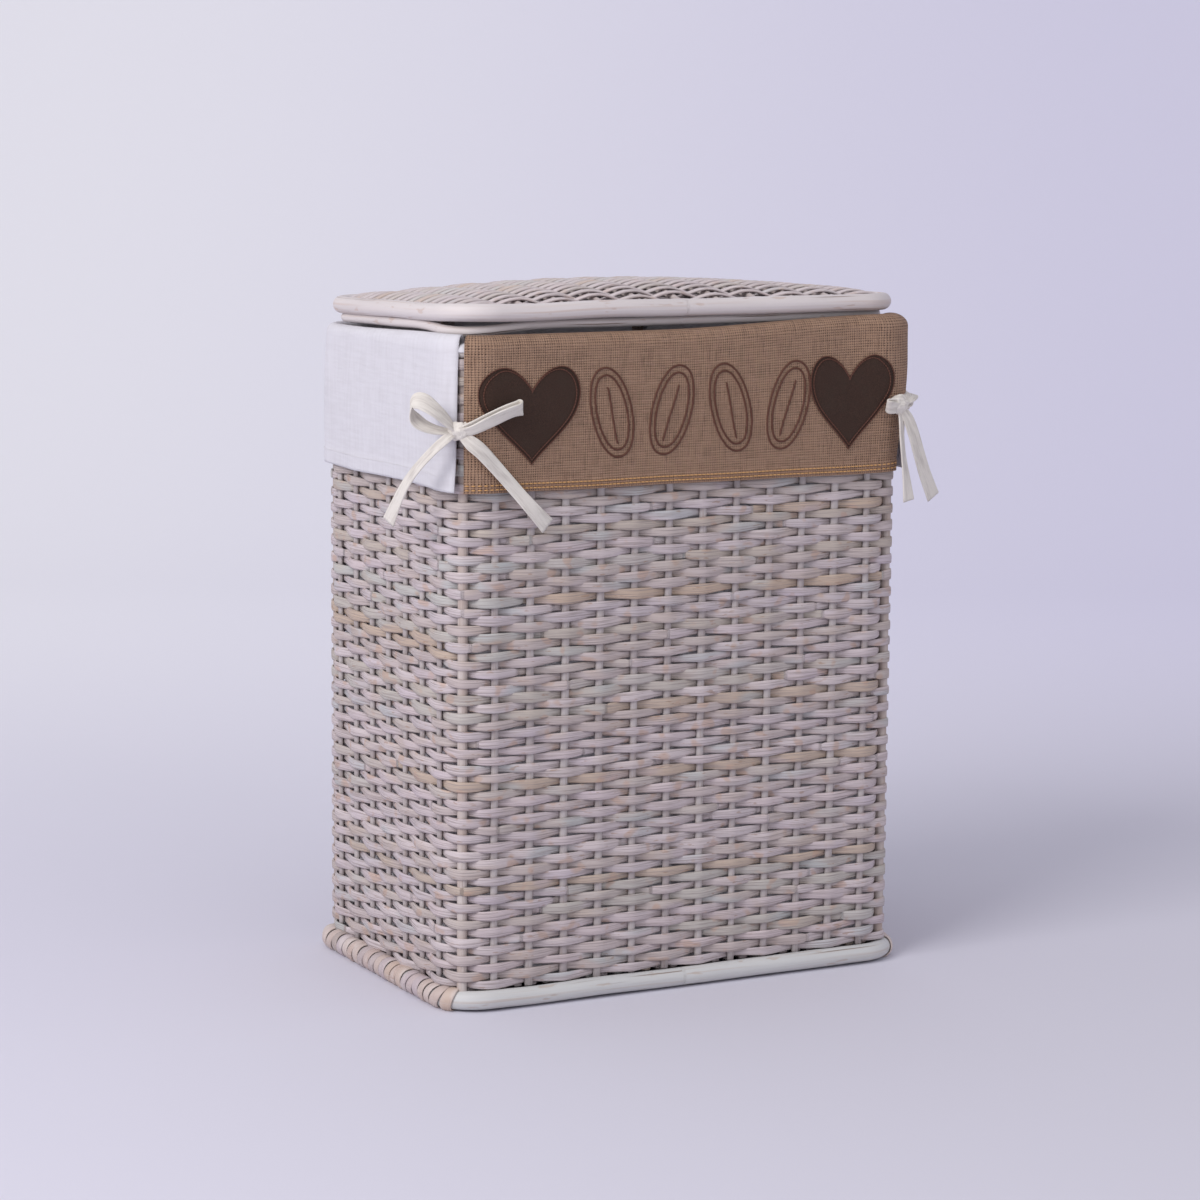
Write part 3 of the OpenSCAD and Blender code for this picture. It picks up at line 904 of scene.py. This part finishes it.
# Low places between thread crossings turn near black-brown (52, 36, 26): painted shade in the weave's
# gaps, over the threads' own tan.
burlap_colour = burlap.mix(thread_top.between(0.10, 0.62), (52, 36, 26), (164, 132, 109))
burlap_colour = burlap.mix(upright_noise.between(0.45, 0.75) * 0.45, burlap_colour, (96, 72, 58))
burlap_colour = burlap.mix(level_noise.between(0.45, 0.75) * 0.45, burlap_colour, (172, 142, 122))
burlap.surface(
    Base_Color=burlap_colour,
    Roughness=0.92,
    Normal=burlap.bump(thread_top + 0.5 * (upright_noise + level_noise), 0.0009),
)


def right_edge(lift):
    """The band's right edge leans in from the rim (lift 1) to the hem (lift 0), as a power curve."""
    return band_right - edge_lean * (1 - lift) ** 1.2


def right_lift(s):
    """How much higher the band is at s than at its left: a soft step over most of its width."""
    return 1 + right_rise * soft_step(s, -0.03, 0.19) / band_rise


def band_surface(share_across, along):
    """Burlap as a share of its width and a distance up from the lower edge: straight up off the
    wall, with a soft belly and faint upright waves, then an oval roll over the rim. Its right edge
    leans in towards the hem, and the hem is a step thicker."""
    height = np.clip(along, 0, band_rise)
    lift = height / band_rise
    s = share_across * np.where(share_across > 0, right_edge(lift), band_left)
    angle = np.clip((along - band_rise) / roll_run, 0, 1) * roll_turn
    belly = 0.0016 * np.sin(math.pi * lift) ** 1.5 * (0.6 + 0.5 * ripple(s / 0.07, 91))
    belly = belly + right_puff * soft_step(s, 0.150, 0.205) * soft_step(lift, 0.0, 0.8)
    wave = 0.0005 * (1 - lift) * ripple(s / 0.026, 92) + 0.0008 * lift**3
    post = 0.0008 * off_post(np.mod(s, wall_round)) * (1 - lift)
    hem = 0.0007 * (1 - soft_step(along, 0.0082, 0.0092))
    out = band_reach * np.cos(angle) + (belly + wave + post + hem) * np.cos(angle)
    rise = band_low.z + height * right_lift(s) + roll_rise * np.sin(angle)
    rise = rise + 0.0006 * ripple(s / 0.05, 93) * (1 - lift) ** 2
    return beside_wall(s, out, rise), stacked(s, along, 0.0)


hem_part = np.linspace(0, 0.012, 14)
face_part = np.linspace(0.0135, band_rise, 70)
roll_part = band_rise + roll_run * np.linspace(0.06, 1, 18)
up_band = np.concatenate([hem_part, face_part, roll_part])
grid, grain = band_surface(np.linspace(-1, 1, 330)[:, None], up_band)
band = Workpiece().add(grid, grain, side_loop=False)
burlap_front = band.finish("burlap_front", "basket", "burlap", burlap, ["burlap_band"])
thicken(burlap_front, burlap_t)
band_rise + roll_run + band_hem


def on_band(x, z):
    """Point of the burlap's outer face at these x and z, with its right, up and outward
    directions. The burlap is close to a plane there, so its out distance is read straight off."""

    def face(x, z):
        along = (z - band_low.z) / right_lift(x)
        edge = right_edge(np.clip(along / band_rise, 0, 1))
        return band_surface(x / np.where(x > 0, edge, band_left), along)[0]

    step = 0.0005
    right = unit(face(x + step, z) - face(x - step, z))
    upward = unit(face(x, z + step) - face(x, z - step))
    out = np.cross(right, upward)
    return face(x, z) + burlap_t / 2 * out, right, upward, out


def twisted_thread(name, pitch, light, dark, roughness):
    """Sewing thread: fine noise in two shades stands for its twist."""
    finish = Finish(name)
    twist = finish.grain(finish.place(), (pitch, pitch, pitch), 2.0)
    colour = finish.mix(twist, light, dark)
    return finish.surface(Base_Color=colour, Roughness=roughness, Normal=finish.bump(twist, 0.0002))


golden = twisted_thread("golden_thread", 1400.0, (214, 170, 112), (186, 134, 84), 0.5)
topstitch = Workpiece()
shares = np.arange(-0.99, 0.99, 0.0039 / band_left)[:, None]
for row_height in (0.0032, 0.0068):
    row_grid, _ = band_surface(shares, row_height + np.array([-0.0002, 0.0002]))
    row_along, row_out = slopes(row_grid)
    row_place = row_grid[:, 0] + (burlap_t / 2 + 0.0002) * row_out[:, 0]
    topstitch.add(stitches(row_place, row_along[:, 0], row_out[:, 0], 0.0034, 0.0013))
topstitch.finish("hem_topstitch", "basket", "gold_thread", golden, ["hem_stitching"])

# ---- Hearts
# Two dark brown felt hearts, appliqued near the ends of the band with a line of stitches just
# inside their edges.

felt_t = 0.0012

felt = Finish("brown_felt")
felt_fuzz = felt.grain(felt.place(), (1500.0, 1500.0, 1500.0), 4.0)
felt_cloud = felt.grain(felt.place(), (90.0, 90.0, 90.0), 2.0)
felt_colour = felt.mix(felt_fuzz.between(0.3, 0.75), (46, 29, 21), (70, 47, 36))
felt_colour = felt.mix(felt_cloud.between(0.4, 0.7) * 0.3, felt_colour, (58, 44, 34))
felt.surface(Base_Color=felt_colour, Roughness=0.95, Normal=felt.bump(felt_fuzz, 0.0008))

brown_cotton = twisted_thread("brown_thread", 1300.0, (104, 60, 42), (72, 42, 32), 0.6)


def heart_curve(turn, wide, tall):
    """Outline of a heart with its point down: the width is a power of the sine and the height a sum of
    cosines, scaled to the given size, with z measured from the point."""
    x = squared(np.sin(turn), 2.15)
    z = 13 * np.cos(turn) - 5 * np.cos(2 * turn) - 2 * np.cos(3 * turn) - np.cos(4 * turn)
    return wide / 2 * x, tall * (z + 17.0) / 28.9


def run_length(x, z):
    """Distance along a line of points at each of them, from 0."""
    return np.concatenate([[0.0], np.cumsum(np.hypot(np.diff(x), np.diff(z)))])


def line_on_band(x, z):
    """Places on the burlap's face, the line's direction at each, and the direction out."""
    place, right, upward, out = on_band(x, z)
    return place, np.gradient(x)[:, None] * right + np.gradient(z)[:, None] * upward, out


def heart_piece(name, node_name, fullness, shift):
    """A felt heart about the node's size laid on the burlap, domed at its edge, with its stitches.
    fullness scales its width, and shift moves it sideways."""
    low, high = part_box(node_name)
    wide = (high.x - low.x) * fullness
    tall = high.z - low.z
    middle = (low.x + high.x) / 2 + shift
    turn = np.linspace(0, 2 * math.pi, 180, endpoint=False)[:, None]
    edge_x, edge_z = heart_curve(turn, wide, tall)
    heart_z = 0.60 * tall
    rim = np.concatenate([np.linspace(0.0, 0.9, 16), [0.94, 0.97, 0.99, 1.0, 1.0]])
    shape = np.concatenate([np.full(16, 1.0), [0.98, 0.9, 0.7, 0.4, -0.2]])
    x = middle + rim * edge_x
    z = low.z + heart_z + rim * (edge_z - heart_z)
    place, _, _, out = on_band(x, z)
    dimple = 0.35 * np.exp(-(((rim - 0.93) / 0.03) ** 2))
    grid = place + felt_t * (shape - dimple)[..., None] * out
    heart = Workpiece().add(grid, ring_loop=True, side_loop=False)
    felt_heart = heart.finish(name, "basket", "felt", felt, [node_name])
    cut = abs(np.sum(edge_x * np.roll(edge_z, -1, 0) - np.roll(edge_x, -1, 0) * edge_z)) / 2
    seam_turn = np.linspace(0, 2 * math.pi, 2000)
    seam_x, seam_z = heart_curve(seam_turn, wide, tall)
    length = run_length(seam_x, seam_z)
    seam = Workpiece()
    for inset, pitch in ((0.93, 0.0026), (1.005, 0.0023)):
        even = np.interp(np.arange(0, length[-1], pitch), length, seam_turn)
        x, z = heart_curve(even, wide, tall)
        place, along, out = line_on_band(middle + inset * x, low.z + heart_z + inset * (z - heart_z))
        seam.add(stitches(place + 0.0009 * out, unit(along), out, 0.0026, 0.0012))
    seam.finish(f"{name}_seam", "basket", "brown_thread", brown_cotton)


heart_piece("left_felt_heart", "left_heart", 0.96, 0.001)
heart_piece("right_felt_heart", "right_heart", 0.93, -0.005)

# ---- Stitched leaves
# Four plain leaves are embroidered between the hearts in dark brown thread: a double outline and a
# middle vein, in close slanting stitches.

leaf_low, leaf_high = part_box("stitched_leaves")
leaf_tall = 0.078
leaf_wide = 0.038
leaf_lean = math.radians(14)
leaf_z = (leaf_low.z + leaf_high.z) / 2
leaf_middles = np.linspace(leaf_low.x + 0.0170, leaf_high.x - 0.0205, 4)


def leaf_lines(tall, wide):
    """Two sides of a leaf, each a half wave from tip to tip, joined into one closed line."""
    up_side = np.linspace(0, math.pi, 200)
    x = wide / 2 * np.sin(up_side) ** 0.9
    z = -tall / 2 * np.cos(up_side)
    return np.concatenate([x, -x]), np.concatenate([z, -z])


leaves = Workpiece()
leaf_dice = np.random.default_rng(7)
for number, leaf_x in enumerate(leaf_middles):
    lean = leaf_lean * (1 if number % 2 else -1) * (0.9 + 0.2 * leaf_dice.uniform())
    outer = leaf_lines(leaf_tall * 0.98, leaf_wide * 0.98)
    inner = leaf_lines(leaf_tall * 0.82, leaf_wide * 0.74)
    vein_z = np.linspace(-leaf_tall * 0.34, leaf_tall * 0.28, 120)
    vein = (0.0012 * np.sin(vein_z / 0.016), vein_z)
    for line_x, line_z in (outer, inner, vein):
        x = leaf_x + line_x * math.cos(lean) + line_z * math.sin(lean)
        z = leaf_z - line_x * math.sin(lean) + line_z * math.cos(lean)
        length = run_length(x, z)
        even = np.arange(0.0004, length[-1], 0.0013)
        x = np.interp(even, length, x) + leaf_dice.normal(0, 0.00012, len(even))
        place, along, out = line_on_band(x, np.interp(even, length, z))
        slanted = unit(along + 0.5 * np.cross(out, along))
        leaves.add(stitches(place + 0.0001 * out, slanted, out, 0.0032, 0.0015))
leaves.finish("leaf_embroidery", "basket", "brown_thread", brown_cotton, ["stitched_leaves"])

# ---- Bows
# At each front corner a cotton tape from the band and one from the flap are tied in a bow: one
# makes the knot, and each has its own loop and tail with a stitched end.

tape_wide = 0.0128
tape_thick = 0.0016
tape_rate = 4600
tape_rings = 60

tape_cloth = Finish("cotton_tape")
tape_place = tape_cloth.mark("grain")
tape_u, tape_v, _ = tape_cloth.part_of(tape_place)
tape_weave = (tape_u * tape_rate).sine() * (tape_v * tape_rate).sine()
tape_slub = tape_cloth.grain(tape_place, (60.0, 500.0, 500.0), 3.0)
tape_cloth.surface(
    Base_Color=tape_cloth.mix(tape_slub.between(0.4, 0.75), (232, 226, 218), (208, 201, 193)),
    Roughness=0.85,
    Normal=tape_cloth.bump(0.3 * tape_weave + tape_slub, 0.0005),
)


def smooth_route(knots, count):
    """Catmull-Rom curve through listed knots (rows of any number of columns)."""
    knots = np.asarray(knots, float)
    padded = np.concatenate([[2 * knots[0] - knots[1]], knots, [2 * knots[-1] - knots[-2]]])
    place = np.linspace(0, len(knots) - 1.000001, count)
    whole = place.astype(int)
    t = (place - whole)[:, None]
    a, b, c, d = (padded[whole + i] for i in range(4))
    return 0.5 * (
        2 * b + (c - a) * t + (2 * a - 5 * b + 4 * c - d) * t**2 + (3 * b - a - 3 * c + d) * t**3
    )


def tape_run(knots, facing):
    """Flat tape along a route. Each knot is a place in millimetres and a share of the full width;
    facing gives the directions that its flat face looks in along the way. The section is a flat
    rounded box, and seams along both edges stand up a little."""
    route = smooth_route(np.array(knots) / (1000, 1000, 1000, 1), tape_rings)
    middle = route[:, :3]
    ahead = np.gradient(middle, axis=0)
    step = np.linalg.norm(ahead, axis=-1, keepdims=True)
    ahead = ahead / step
    if len(facing) > 2:
        looks = smooth_route(facing, tape_rings)
    else:
        share = np.linspace(0, 1, tape_rings)[:, None]
        looks = (1 - share) * facing[0] + share * facing[1]
    flat_out = unit(looks - (looks * ahead).sum(-1, keepdims=True) * ahead)
    beside = np.cross(flat_out, ahead)
    turn = full_turn(16)
    deep = squared(np.cos(turn), 0.5)
    wide = squared(np.sin(turn), 0.55)
    edge = 1 + 0.25 * np.exp(-(((np.abs(wide) - 0.82) / 0.10) ** 2))
    side = (tape_wide / 2 * route[:, 3])[:, None] * wide
    grid = (
        middle[:, None, :]
        + (tape_thick / 2 * deep * edge)[:, None] * flat_out[:, None, :]
        + side[..., None] * beside[:, None, :]
    )
    grain = stacked(np.cumsum(step[:, 0])[:, None], side, 0.001 * deep)
    return grid, grain, float(step.sum())


def knot_lump(middle, half_size, turn_z):
    """The knot: an oval lump with two tucks across it, turned about the upright."""
    u = np.linspace(0.02, math.pi - 0.02, 26)[:, None]
    v = full_turn(32)
    tuck = 1 + 0.07 * np.cos(5 * v + 2 * u) + 0.05 * np.cos(9 * u)
    x = -half_size[0] * np.cos(u)
    y = half_size[1] * np.sin(u) ** 0.8 * np.cos(v) * tuck
    z = half_size[2] * np.sin(u) ** 0.8 * np.sin(v) * tuck
    turned_x = x * math.cos(turn_z) - y * math.sin(turn_z)
    turned_y = x * math.sin(turn_z) + y * math.cos(turn_z)
    return (stacked(turned_x, turned_y, z) + middle)[::-1]


# Each tape in millimetres: its node, its runs as (route, facing), and its knot, if it makes the
# knot, as (place, degrees that it is turned, half sizes).
tapes = {
    "left_band_tape": (
        "left_band_tie",
        [
            ([(-210.5, -138.5, 494.5, 1), (-212.5, -142.5, 494, 0.8), (-216.5, -144, 493, 0.5)],
             [(-0.6, -0.8, 0), (-0.6, -0.8, 0.2)]),
            ([(-216.5, -145, 493.5, 0.5), (-208, -150, 496.5, 0.78), (-195, -154.5, 502.5, 0.92),
              (-180, -157, 508, 1.05), (-169, -157.8, 511, 1.1), (-166.8, -159.6, 511.5, 1.1),
              (-169, -161.2, 510.5, 1.1), (-180, -160.5, 507, 1.05), (-195, -158, 500.5, 0.92),
              (-208, -153, 494, 0.75), (-216.5, -147, 492, 0.5)],
             [(0, 1, 0.45), (0, 1, 0.45), (0.5, 0.5, 0.3), (1, 0, 0.2), (0.5, -0.6, -0.3),
              (0, -1, -0.45), (0, -1, -0.45)]),
            ([(-215, -146, 490, 0.6), (-208.5, -151, 483, 0.98), (-200, -153.5, 475.5, 1.05),
              (-185, -153.5, 460, 1), (-168, -155, 441, 0.98), (-154, -156.5, 425.5, 1.05),
              (-140, -154.5, 411.5, 1.2)],
             [(-0.3, -0.9, 0.2), (0.1, -1, 0.2), (0.1, -1, 0.1)]),
        ],
        ((-217, -142, 492.5), -45, (9.2, 6.6, 7.6)),
    ),
    "left_flap_tape": (
        "left_flap_tie",
        [
            ([(-219.5, -129, 494, 1), (-221.5, -135, 494.5, 0.8), (-218, -142, 493.5, 0.5)],
             [(-0.8, -0.5, 0), (-0.8, -0.6, 0.2)]),
            ([(-219, -143, 493.5, 0.5), (-227, -145, 501, 0.95), (-238, -144, 511, 1.2),
              (-248, -139, 518, 1.25), (-253.5, -133, 516.5, 1.25), (-252.5, -131, 507, 1.2),
              (-246, -133, 499, 1.1), (-235, -137, 494, 0.85), (-221.5, -141, 492, 0.5)],
             [(-0.22, -0.44, 0.59), (-0.22, -0.44, 0.59), (-0.88, 0.24, 0.22), (0.22, 0.44, -0.59),
              (0.22, 0.44, -0.59)]),
            ([(-220, -143, 491.5, 0.5), (-229, -144, 486, 0.66), (-238, -140, 477, 0.64),
              (-246.5, -131, 464, 0.64), (-252, -120, 450, 0.68), (-255.5, -108, 433, 0.78),
              (-258, -96, 414, 1.05)],
             [(-0.6, -0.9, 0.4), (-0.8, -0.6, 0.3), (-0.9, -0.5, 0.1)]),
        ],
        None,
    ),
    "right_band_tape": (
        "right_band_tie",
        [
            ([(219.8, -136, 498.5, 1), (213, -147.5, 499, 0.8), (205, -153, 499, 0.5)],
             [(0.6, -0.8, 0), (0.6, -0.8, 0.2)]),
            ([(203, -153.5, 500, 0.5), (195, -156, 500.5, 0.85), (188.5, -157.7, 500, 1),
              (186.5, -159, 499.2, 1), (189, -160.2, 498.2, 1), (196, -159, 497, 0.85),
              (203, -155, 497.2, 0.5)],
             [(-0.2, 0.8, 0.6), (0.3, 0.8, 0.5), (-1, 0.3, 0), (-0.2, -0.9, -0.3), (0.2, -0.9, -0.4)]),
            ([(203, -154, 495.5, 0.5), (203.5, -156, 486, 0.66), (204, -156.5, 470, 0.7),
              (206.5, -156, 453, 0.72), (210.5, -154.5, 435, 0.8), (214.5, -153, 414.5, 0.95)],
             [(0.3, -0.9, 0.2), (0.6, -0.8, 0.1), (0.1, -1, 0.1)]),
        ],
        ((203, -152, 499.5), 30, (10.8, 7, 8.6)),
    ),
    "right_flap_tape": (
        "right_flap_tie",
        [
            ([(222.5, -131, 498.5, 1), (219, -142, 498.8, 0.8), (206, -152, 499, 0.5)],
             [(0.8, -0.5, 0), (0.7, -0.7, 0.2)]),
            ([(204, -152.5, 500, 0.5), (214, -148.5, 503.5, 0.9), (224, -138, 505.5, 1.05),
              (228.5, -130, 505.5, 1.05), (226.5, -126, 503.5, 1.05), (220, -137, 499.5, 1),
              (206, -151, 496.5, 0.5)],
             [(-0.2, 0.3, -0.9), (0, 0.6, -0.8), (-0.3, -0.8, 0.1), (0.2, -0.3, 0.9)]),
            ([(205.5, -153.5, 496, 0.6), (211, -155.5, 486, 0.95), (217, -155.5, 472, 1.05),
              (224, -153.5, 455, 1.08), (233, -150, 436, 1.1), (245, -145, 415.5, 1.15)],
             [(0.1, -1, 0.3), (0.2, -1, 0.2), (0.1, -1, 0.1)]),
        ],
        None,
    ),
}
for name, (node_name, runs, knot) in tapes.items():
    tape = Workpiece()
    for knots, facing in runs:
        grid, grain, length = tape_run(knots, np.array(facing, float))
        tape.add(grid, grain)
    if knot is not None:
        knot_place, knot_turn, knot_size = knot
        knot_grid = knot_lump(np.array(knot_place), knot_size, math.radians(knot_turn)) / 1000
        tape.add(knot_grid)
    tied = tape.finish(name, "basket", "cotton_tape", tape_cloth, [node_name])

# ---- Lid poles
# The lid's frame is a painted pole 15 mm thick with a thinner hoop under it, set back along the
# front. The whole lid leans: its front stands a little higher than its back.

lid_low, lid_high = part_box("lid_hoop")
lid_pole_r = 0.0075
lid_deep = lid_high.y - lid_low.y - 2 * lid_pole_r
lid_climb = lid_high.z - lid_low.z - 2 * lid_pole_r
lid_tilt = math.atan2(lid_climb, lid_deep)
lid_middle = (np.array(lid_low) + np.array(lid_high)) / 2
lid_x = lid_high.x - lid_pole_r
lid_y = math.hypot(lid_deep, lid_climb) / 2
lid_bend = 0.0345


def tipped(grid):
    """Turns points drawn level about the lid's middle by its lean, and puts them in place."""
    level = grid[..., 1] * math.cos(lid_tilt) + grid[..., 2] * math.sin(lid_tilt)
    raised = -grid[..., 1] * math.sin(lid_tilt) + grid[..., 2] * math.cos(lid_tilt)
    return np.stack([grid[..., 0], level, raised], -1) + lid_middle


hoop_grid, hoop_grain = bent_pole(lid_x, lid_y, lid_bend, lid_pole_r, 0.0, 41)
lid_frame = Workpiece().add(tipped(hoop_grid), hoop_grain, ring_loop=True)
lid_paint = painted_pole("lid_paint", ((221, 213, 212), (200, 192, 191)), (190, 166, 152))
lid_frame.finish("lid_pole", "lid", "pole_white", lid_paint, ["lid_hoop"])

lower_low, lower_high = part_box("lid_lower_hoop")
lower_r = 0.004
lower_sag = 0.0042
sag_spread = 0.055
lower_middle = (np.array(lower_low) + np.array(lower_high)) / 2
lower_deep = lower_high.y - lower_low.y - 2 * lower_r
lower_climb = lower_high.z - lower_low.z - 2 * lower_r
lower_x = lid_x - 0.002
lower_y = math.hypot(lower_deep, lower_climb) / 2
hoop_grid, hoop_grain = bent_pole(lower_x, lower_y, lid_bend, lower_r * 1.08, 0.0, 43, 20)
corner_near = np.hypot(hoop_grid[..., 0] + lid_x - 0.008, hoop_grid[..., 1] + lid_y - 0.014)
hoop_grid[..., 2] -= lower_sag * np.exp(-((corner_near / sag_spread) ** 2))
lower_shift = lower_middle - lid_middle
hoop_grid = tipped(hoop_grid) + lower_shift
lower_frame = Workpiece().add(hoop_grid, hoop_grain, ring_loop=True)
lower_frame.finish("lid_under_pole", "lid", "pole_white", lid_paint, ["lid_lower_hoop"])

# ---- Woven lid panel
# Round ribs run from front to back across the lid, arched a little from left to right; willow rods
# are woven over and under them and end against the pole.

lid_gap = 0.0004
panel_x = lid_x - lid_pole_r - lid_gap
panel_y = lid_y - lid_pole_r - lid_gap
panel_bend = lid_bend - lid_pole_r - lid_gap
lid_crown = 0.0112
lid_edge = 0.0032
lid_dome = 0.0022
arch_r = (panel_x**2 + lid_crown**2) / (2 * lid_crown)
rib_pitch = 0.037
rib_r = 0.0028
lid_rods = 36
edge_inset = 0.0020
lid_rod_tall = 0.0080
lid_rod_thick = 0.0026


def lid_arch(x, y):
    """Height of the panel's middle over the pole's: a circle's arc across the lid's width, which
    dies away towards the front and the back, where the panel is laced down on the pole."""
    across = lid_crown - arch_r + np.sqrt(arch_r**2 - np.minimum(x**2, panel_x**2))
    return lid_edge + (across + lid_dome) * (1 - np.minimum(np.abs(y / panel_y), 1) ** 3.5)


panel_lines = np.linspace(-panel_y + edge_inset, panel_y - edge_inset, lid_rods)
panel_ends = half_width(panel_lines, panel_x, panel_y, panel_bend) + 0.0022
near_edge = np.exp(-(panel_y - np.abs(panel_lines)) / 0.004)[:, None]
lid_swing = (rib_r + 0.0012) * (1 - 0.8 * near_edge)
grid, grain, shade = flat_woven(
    panel_ends, panel_lines, rib_pitch, lid_swing, lid_rod_tall, lid_rod_thick, lid_arch, 15, rod_sides
)
# The lid's rods take the willow wash mixed 0.45 of the way to near white, far more than the walls:
# painted light on the lid's top.
lid_wash_and_light = washed_willow("lid_willow_wash_and_light", 0.45)
lid_panel = Workpiece().add(tipped(grid), grain, shade)
lid_panel.finish("lid_willow", "lid", "wicker", lid_wash_and_light, ["lid_weave"])
rib_x = rib_pitch * (np.arange(11) - 5)
rib_ends = half_width(rib_x, panel_y, panel_x, panel_bend) + 0.0015
rib_along = np.linspace(-1, 1, 60)[None, :] * rib_ends[:, None]
rib_turn = full_turn(12)
grid = stacked(
    rib_x[:, None, None] - rib_r * np.sin(rib_turn),
    rib_along[..., None],
    lid_arch(rib_x[:, None], rib_along)[..., None] + rib_r * np.cos(rib_turn),
)
lid_sticks = Workpiece().add(tipped(grid))
lid_sticks.finish("lid_rib_sticks", "lid", "wicker_stake", stick_wash, ["lid_ribs"])

# ---- Hinge loops
# At the back, cane is wound four times round the rim hoop and both lid poles in two places; the
# cane turns on the rim hoop, and is the lid's hinge.

loop_turns = 4
loop_rings = 72
cane_half = 0.0012
hinge_lift = 0.0004
cane_out = hinge_lift + cane_half
lower_back = tipped(np.array([0.0, lower_y, 0.0])) + lower_shift
pole_back = tipped(np.array([0.0, lid_y, 0.0]))
wrapped = np.array(
    [
        (core_y, rim_z, rim_r + cane_out),
        (lower_back[1], lower_back[2], lower_r + cane_out),
        (pole_back[1], pole_back[2], lid_pole_r + cane_out),
    ]
)


def belt(circles, count):
    """Line of a belt pulled tight round circles (y, z, radius): in each direction, the furthest
    point of all the circles; then set out at even distances."""
    turn = np.linspace(0, 2 * math.pi, 2000, endpoint=False)
    look = np.stack([np.cos(turn), np.sin(turn)], -1)
    reach = circles[:, :2] @ look.T + circles[:, 2:]
    best = reach.argmax(0)
    line = circles[best, :2] + circles[best, 2:] * look
    line = np.concatenate([line, line[:1]])
    length = run_length(*line.T)
    even = np.arange(count) * length[-1] / count
    return stacked(np.interp(even, length, line[:, 0]), np.interp(even, length, line[:, 1]))


loop_line = belt(wrapped, loop_rings)
loop_ahead = unit(np.roll(loop_line, -1, 0) - np.roll(loop_line, 1, 0))
loop_out = stacked(loop_ahead[:, 1], -loop_ahead[:, 0])
oval = full_turn(10)
turn_half = loop_wide / loop_turns / 2
loops = Workpiece()
loop_dice = np.random.default_rng(61)
for middle in loop_middles:
    for number in range(loop_turns):
        place = middle + (number - (loop_turns - 1) / 2) * 2 * turn_half
        thick = cane_half * np.cos(oval)
        side = place - turn_half * 0.97 * np.sin(oval)
        grid = stacked(
            side,
            loop_line[:, :1] + thick * loop_out[:, :1],
            loop_line[:, 1:] + thick * loop_out[:, 1:],
        )
        run = np.arange(loop_rings)[:, None] * 0.0015
        grain = stacked(run, side, thick + number)
        loops.add(grid, grain, loop_dice.uniform(), ring_loop=True)
loops.finish("cane_hinge_loops", "lid", "cane_binding", cane_bark, ["hinge_loops"])

# ---- Room
# A seamless pale lilac paper sweeps from the floor up behind the basket; a big soft light stands
# to the left and a weak one in front, and the room itself gives the rest.

paper = Finish("seamless_paper")
paper_x, paper_y, _ = paper.part_of(paper.place())
# The paper's colour is painted lighter towards the back and towards the left, where the big soft light
# stands: painted light over one even lilac paper.
far_painted_light = (paper_x * math.sin(camera_yaw) + paper_y * math.cos(camera_yaw)).between(-0.1, 2.1)
left_painted_light = (paper_y * math.sin(camera_yaw) - paper_x * math.cos(camera_yaw)).between(-1.2, 1.2)
paper_back_lit_tone = paper.mix(left_painted_light, (232, 229, 246), (250, 249, 253))
paper_near_shaded_tone = paper.mix(left_painted_light, (208, 206, 216), (215, 213, 226))
paper.surface(Base_Color=paper.mix(far_painted_light, paper_near_shaded_tone, paper_back_lit_tone), Roughness=0.9)
paper_turn = 2.0
paper_back = 2.2
paper_half = 7.0
paper_near = -6.0
paper_top = 6.0
curve = np.linspace(0.05, 1.5, 24)
profile = np.concatenate(
    [
        [(paper_near, 0.0), (paper_back, 0.0)],
        stacked(paper_back + paper_turn * np.sin(curve), paper_turn * (1 - np.cos(curve))),
        [(paper_back + paper_turn + 0.05, paper_top)],
    ]
)
away = np.array([math.sin(camera_yaw), math.cos(camera_yaw), 0.0])
aside = np.array([math.cos(camera_yaw), -math.sin(camera_yaw), 0.0])
half_sheet = profile[:, :1] * away + profile[:, 1:] * upwards
sheet_points = np.concatenate([half_sheet - paper_half * aside, half_sheet + paper_half * aside])
count = len(profile)
paper_faces = [(i, count + i, count + i + 1, i + 1) for i in range(count - 1)]
paper_mesh = bpy.data.meshes.new("studio_paper")
paper_mesh.from_pydata(sheet_points.tolist(), [], paper_faces)
paper_mesh.polygons.foreach_set("use_smooth", [True] * (count - 1))
paper_mesh.materials.append(paper.material)
backdrop = bpy.data.objects.new("studio_paper", paper_mesh)
bpy.context.scene.collection.objects.link(backdrop)

world = bpy.data.worlds.new("studio")
world.use_nodes = True
room_glow = world.node_tree.nodes["Background"].inputs
room_glow["Color"].default_value = (0.92, 0.92, 1.0, 1)
room_glow["Strength"].default_value = 0.62
bpy.context.scene.world = world


def soft_light(name, place, aim, size, power, colour):
    """A square soft box at place, turned to face aim."""
    lamp = bpy.data.lights.new(name, "AREA")
    lamp.shape = "SQUARE"
    lamp.size = size
    lamp.energy = power
    lamp.color = colour
    box = bpy.data.objects.new(name, lamp)
    facing = (Vector(aim) - Vector(place)).to_track_quat("-Z", "Y").to_matrix().to_4x4()
    box.matrix_world = Matrix.Translation(place) @ facing
    bpy.context.scene.collection.objects.link(box)


soft_light("left_box", (-3.2, -1.2, 2.6), (0, 0, 0.3), 2.2, 98, (1.0, 0.98, 0.97))
soft_light("front_box", (0.6, -4.0, 2.2), (0, 0, 0.3), 2.4, 14, (1.0, 0.98, 0.98))
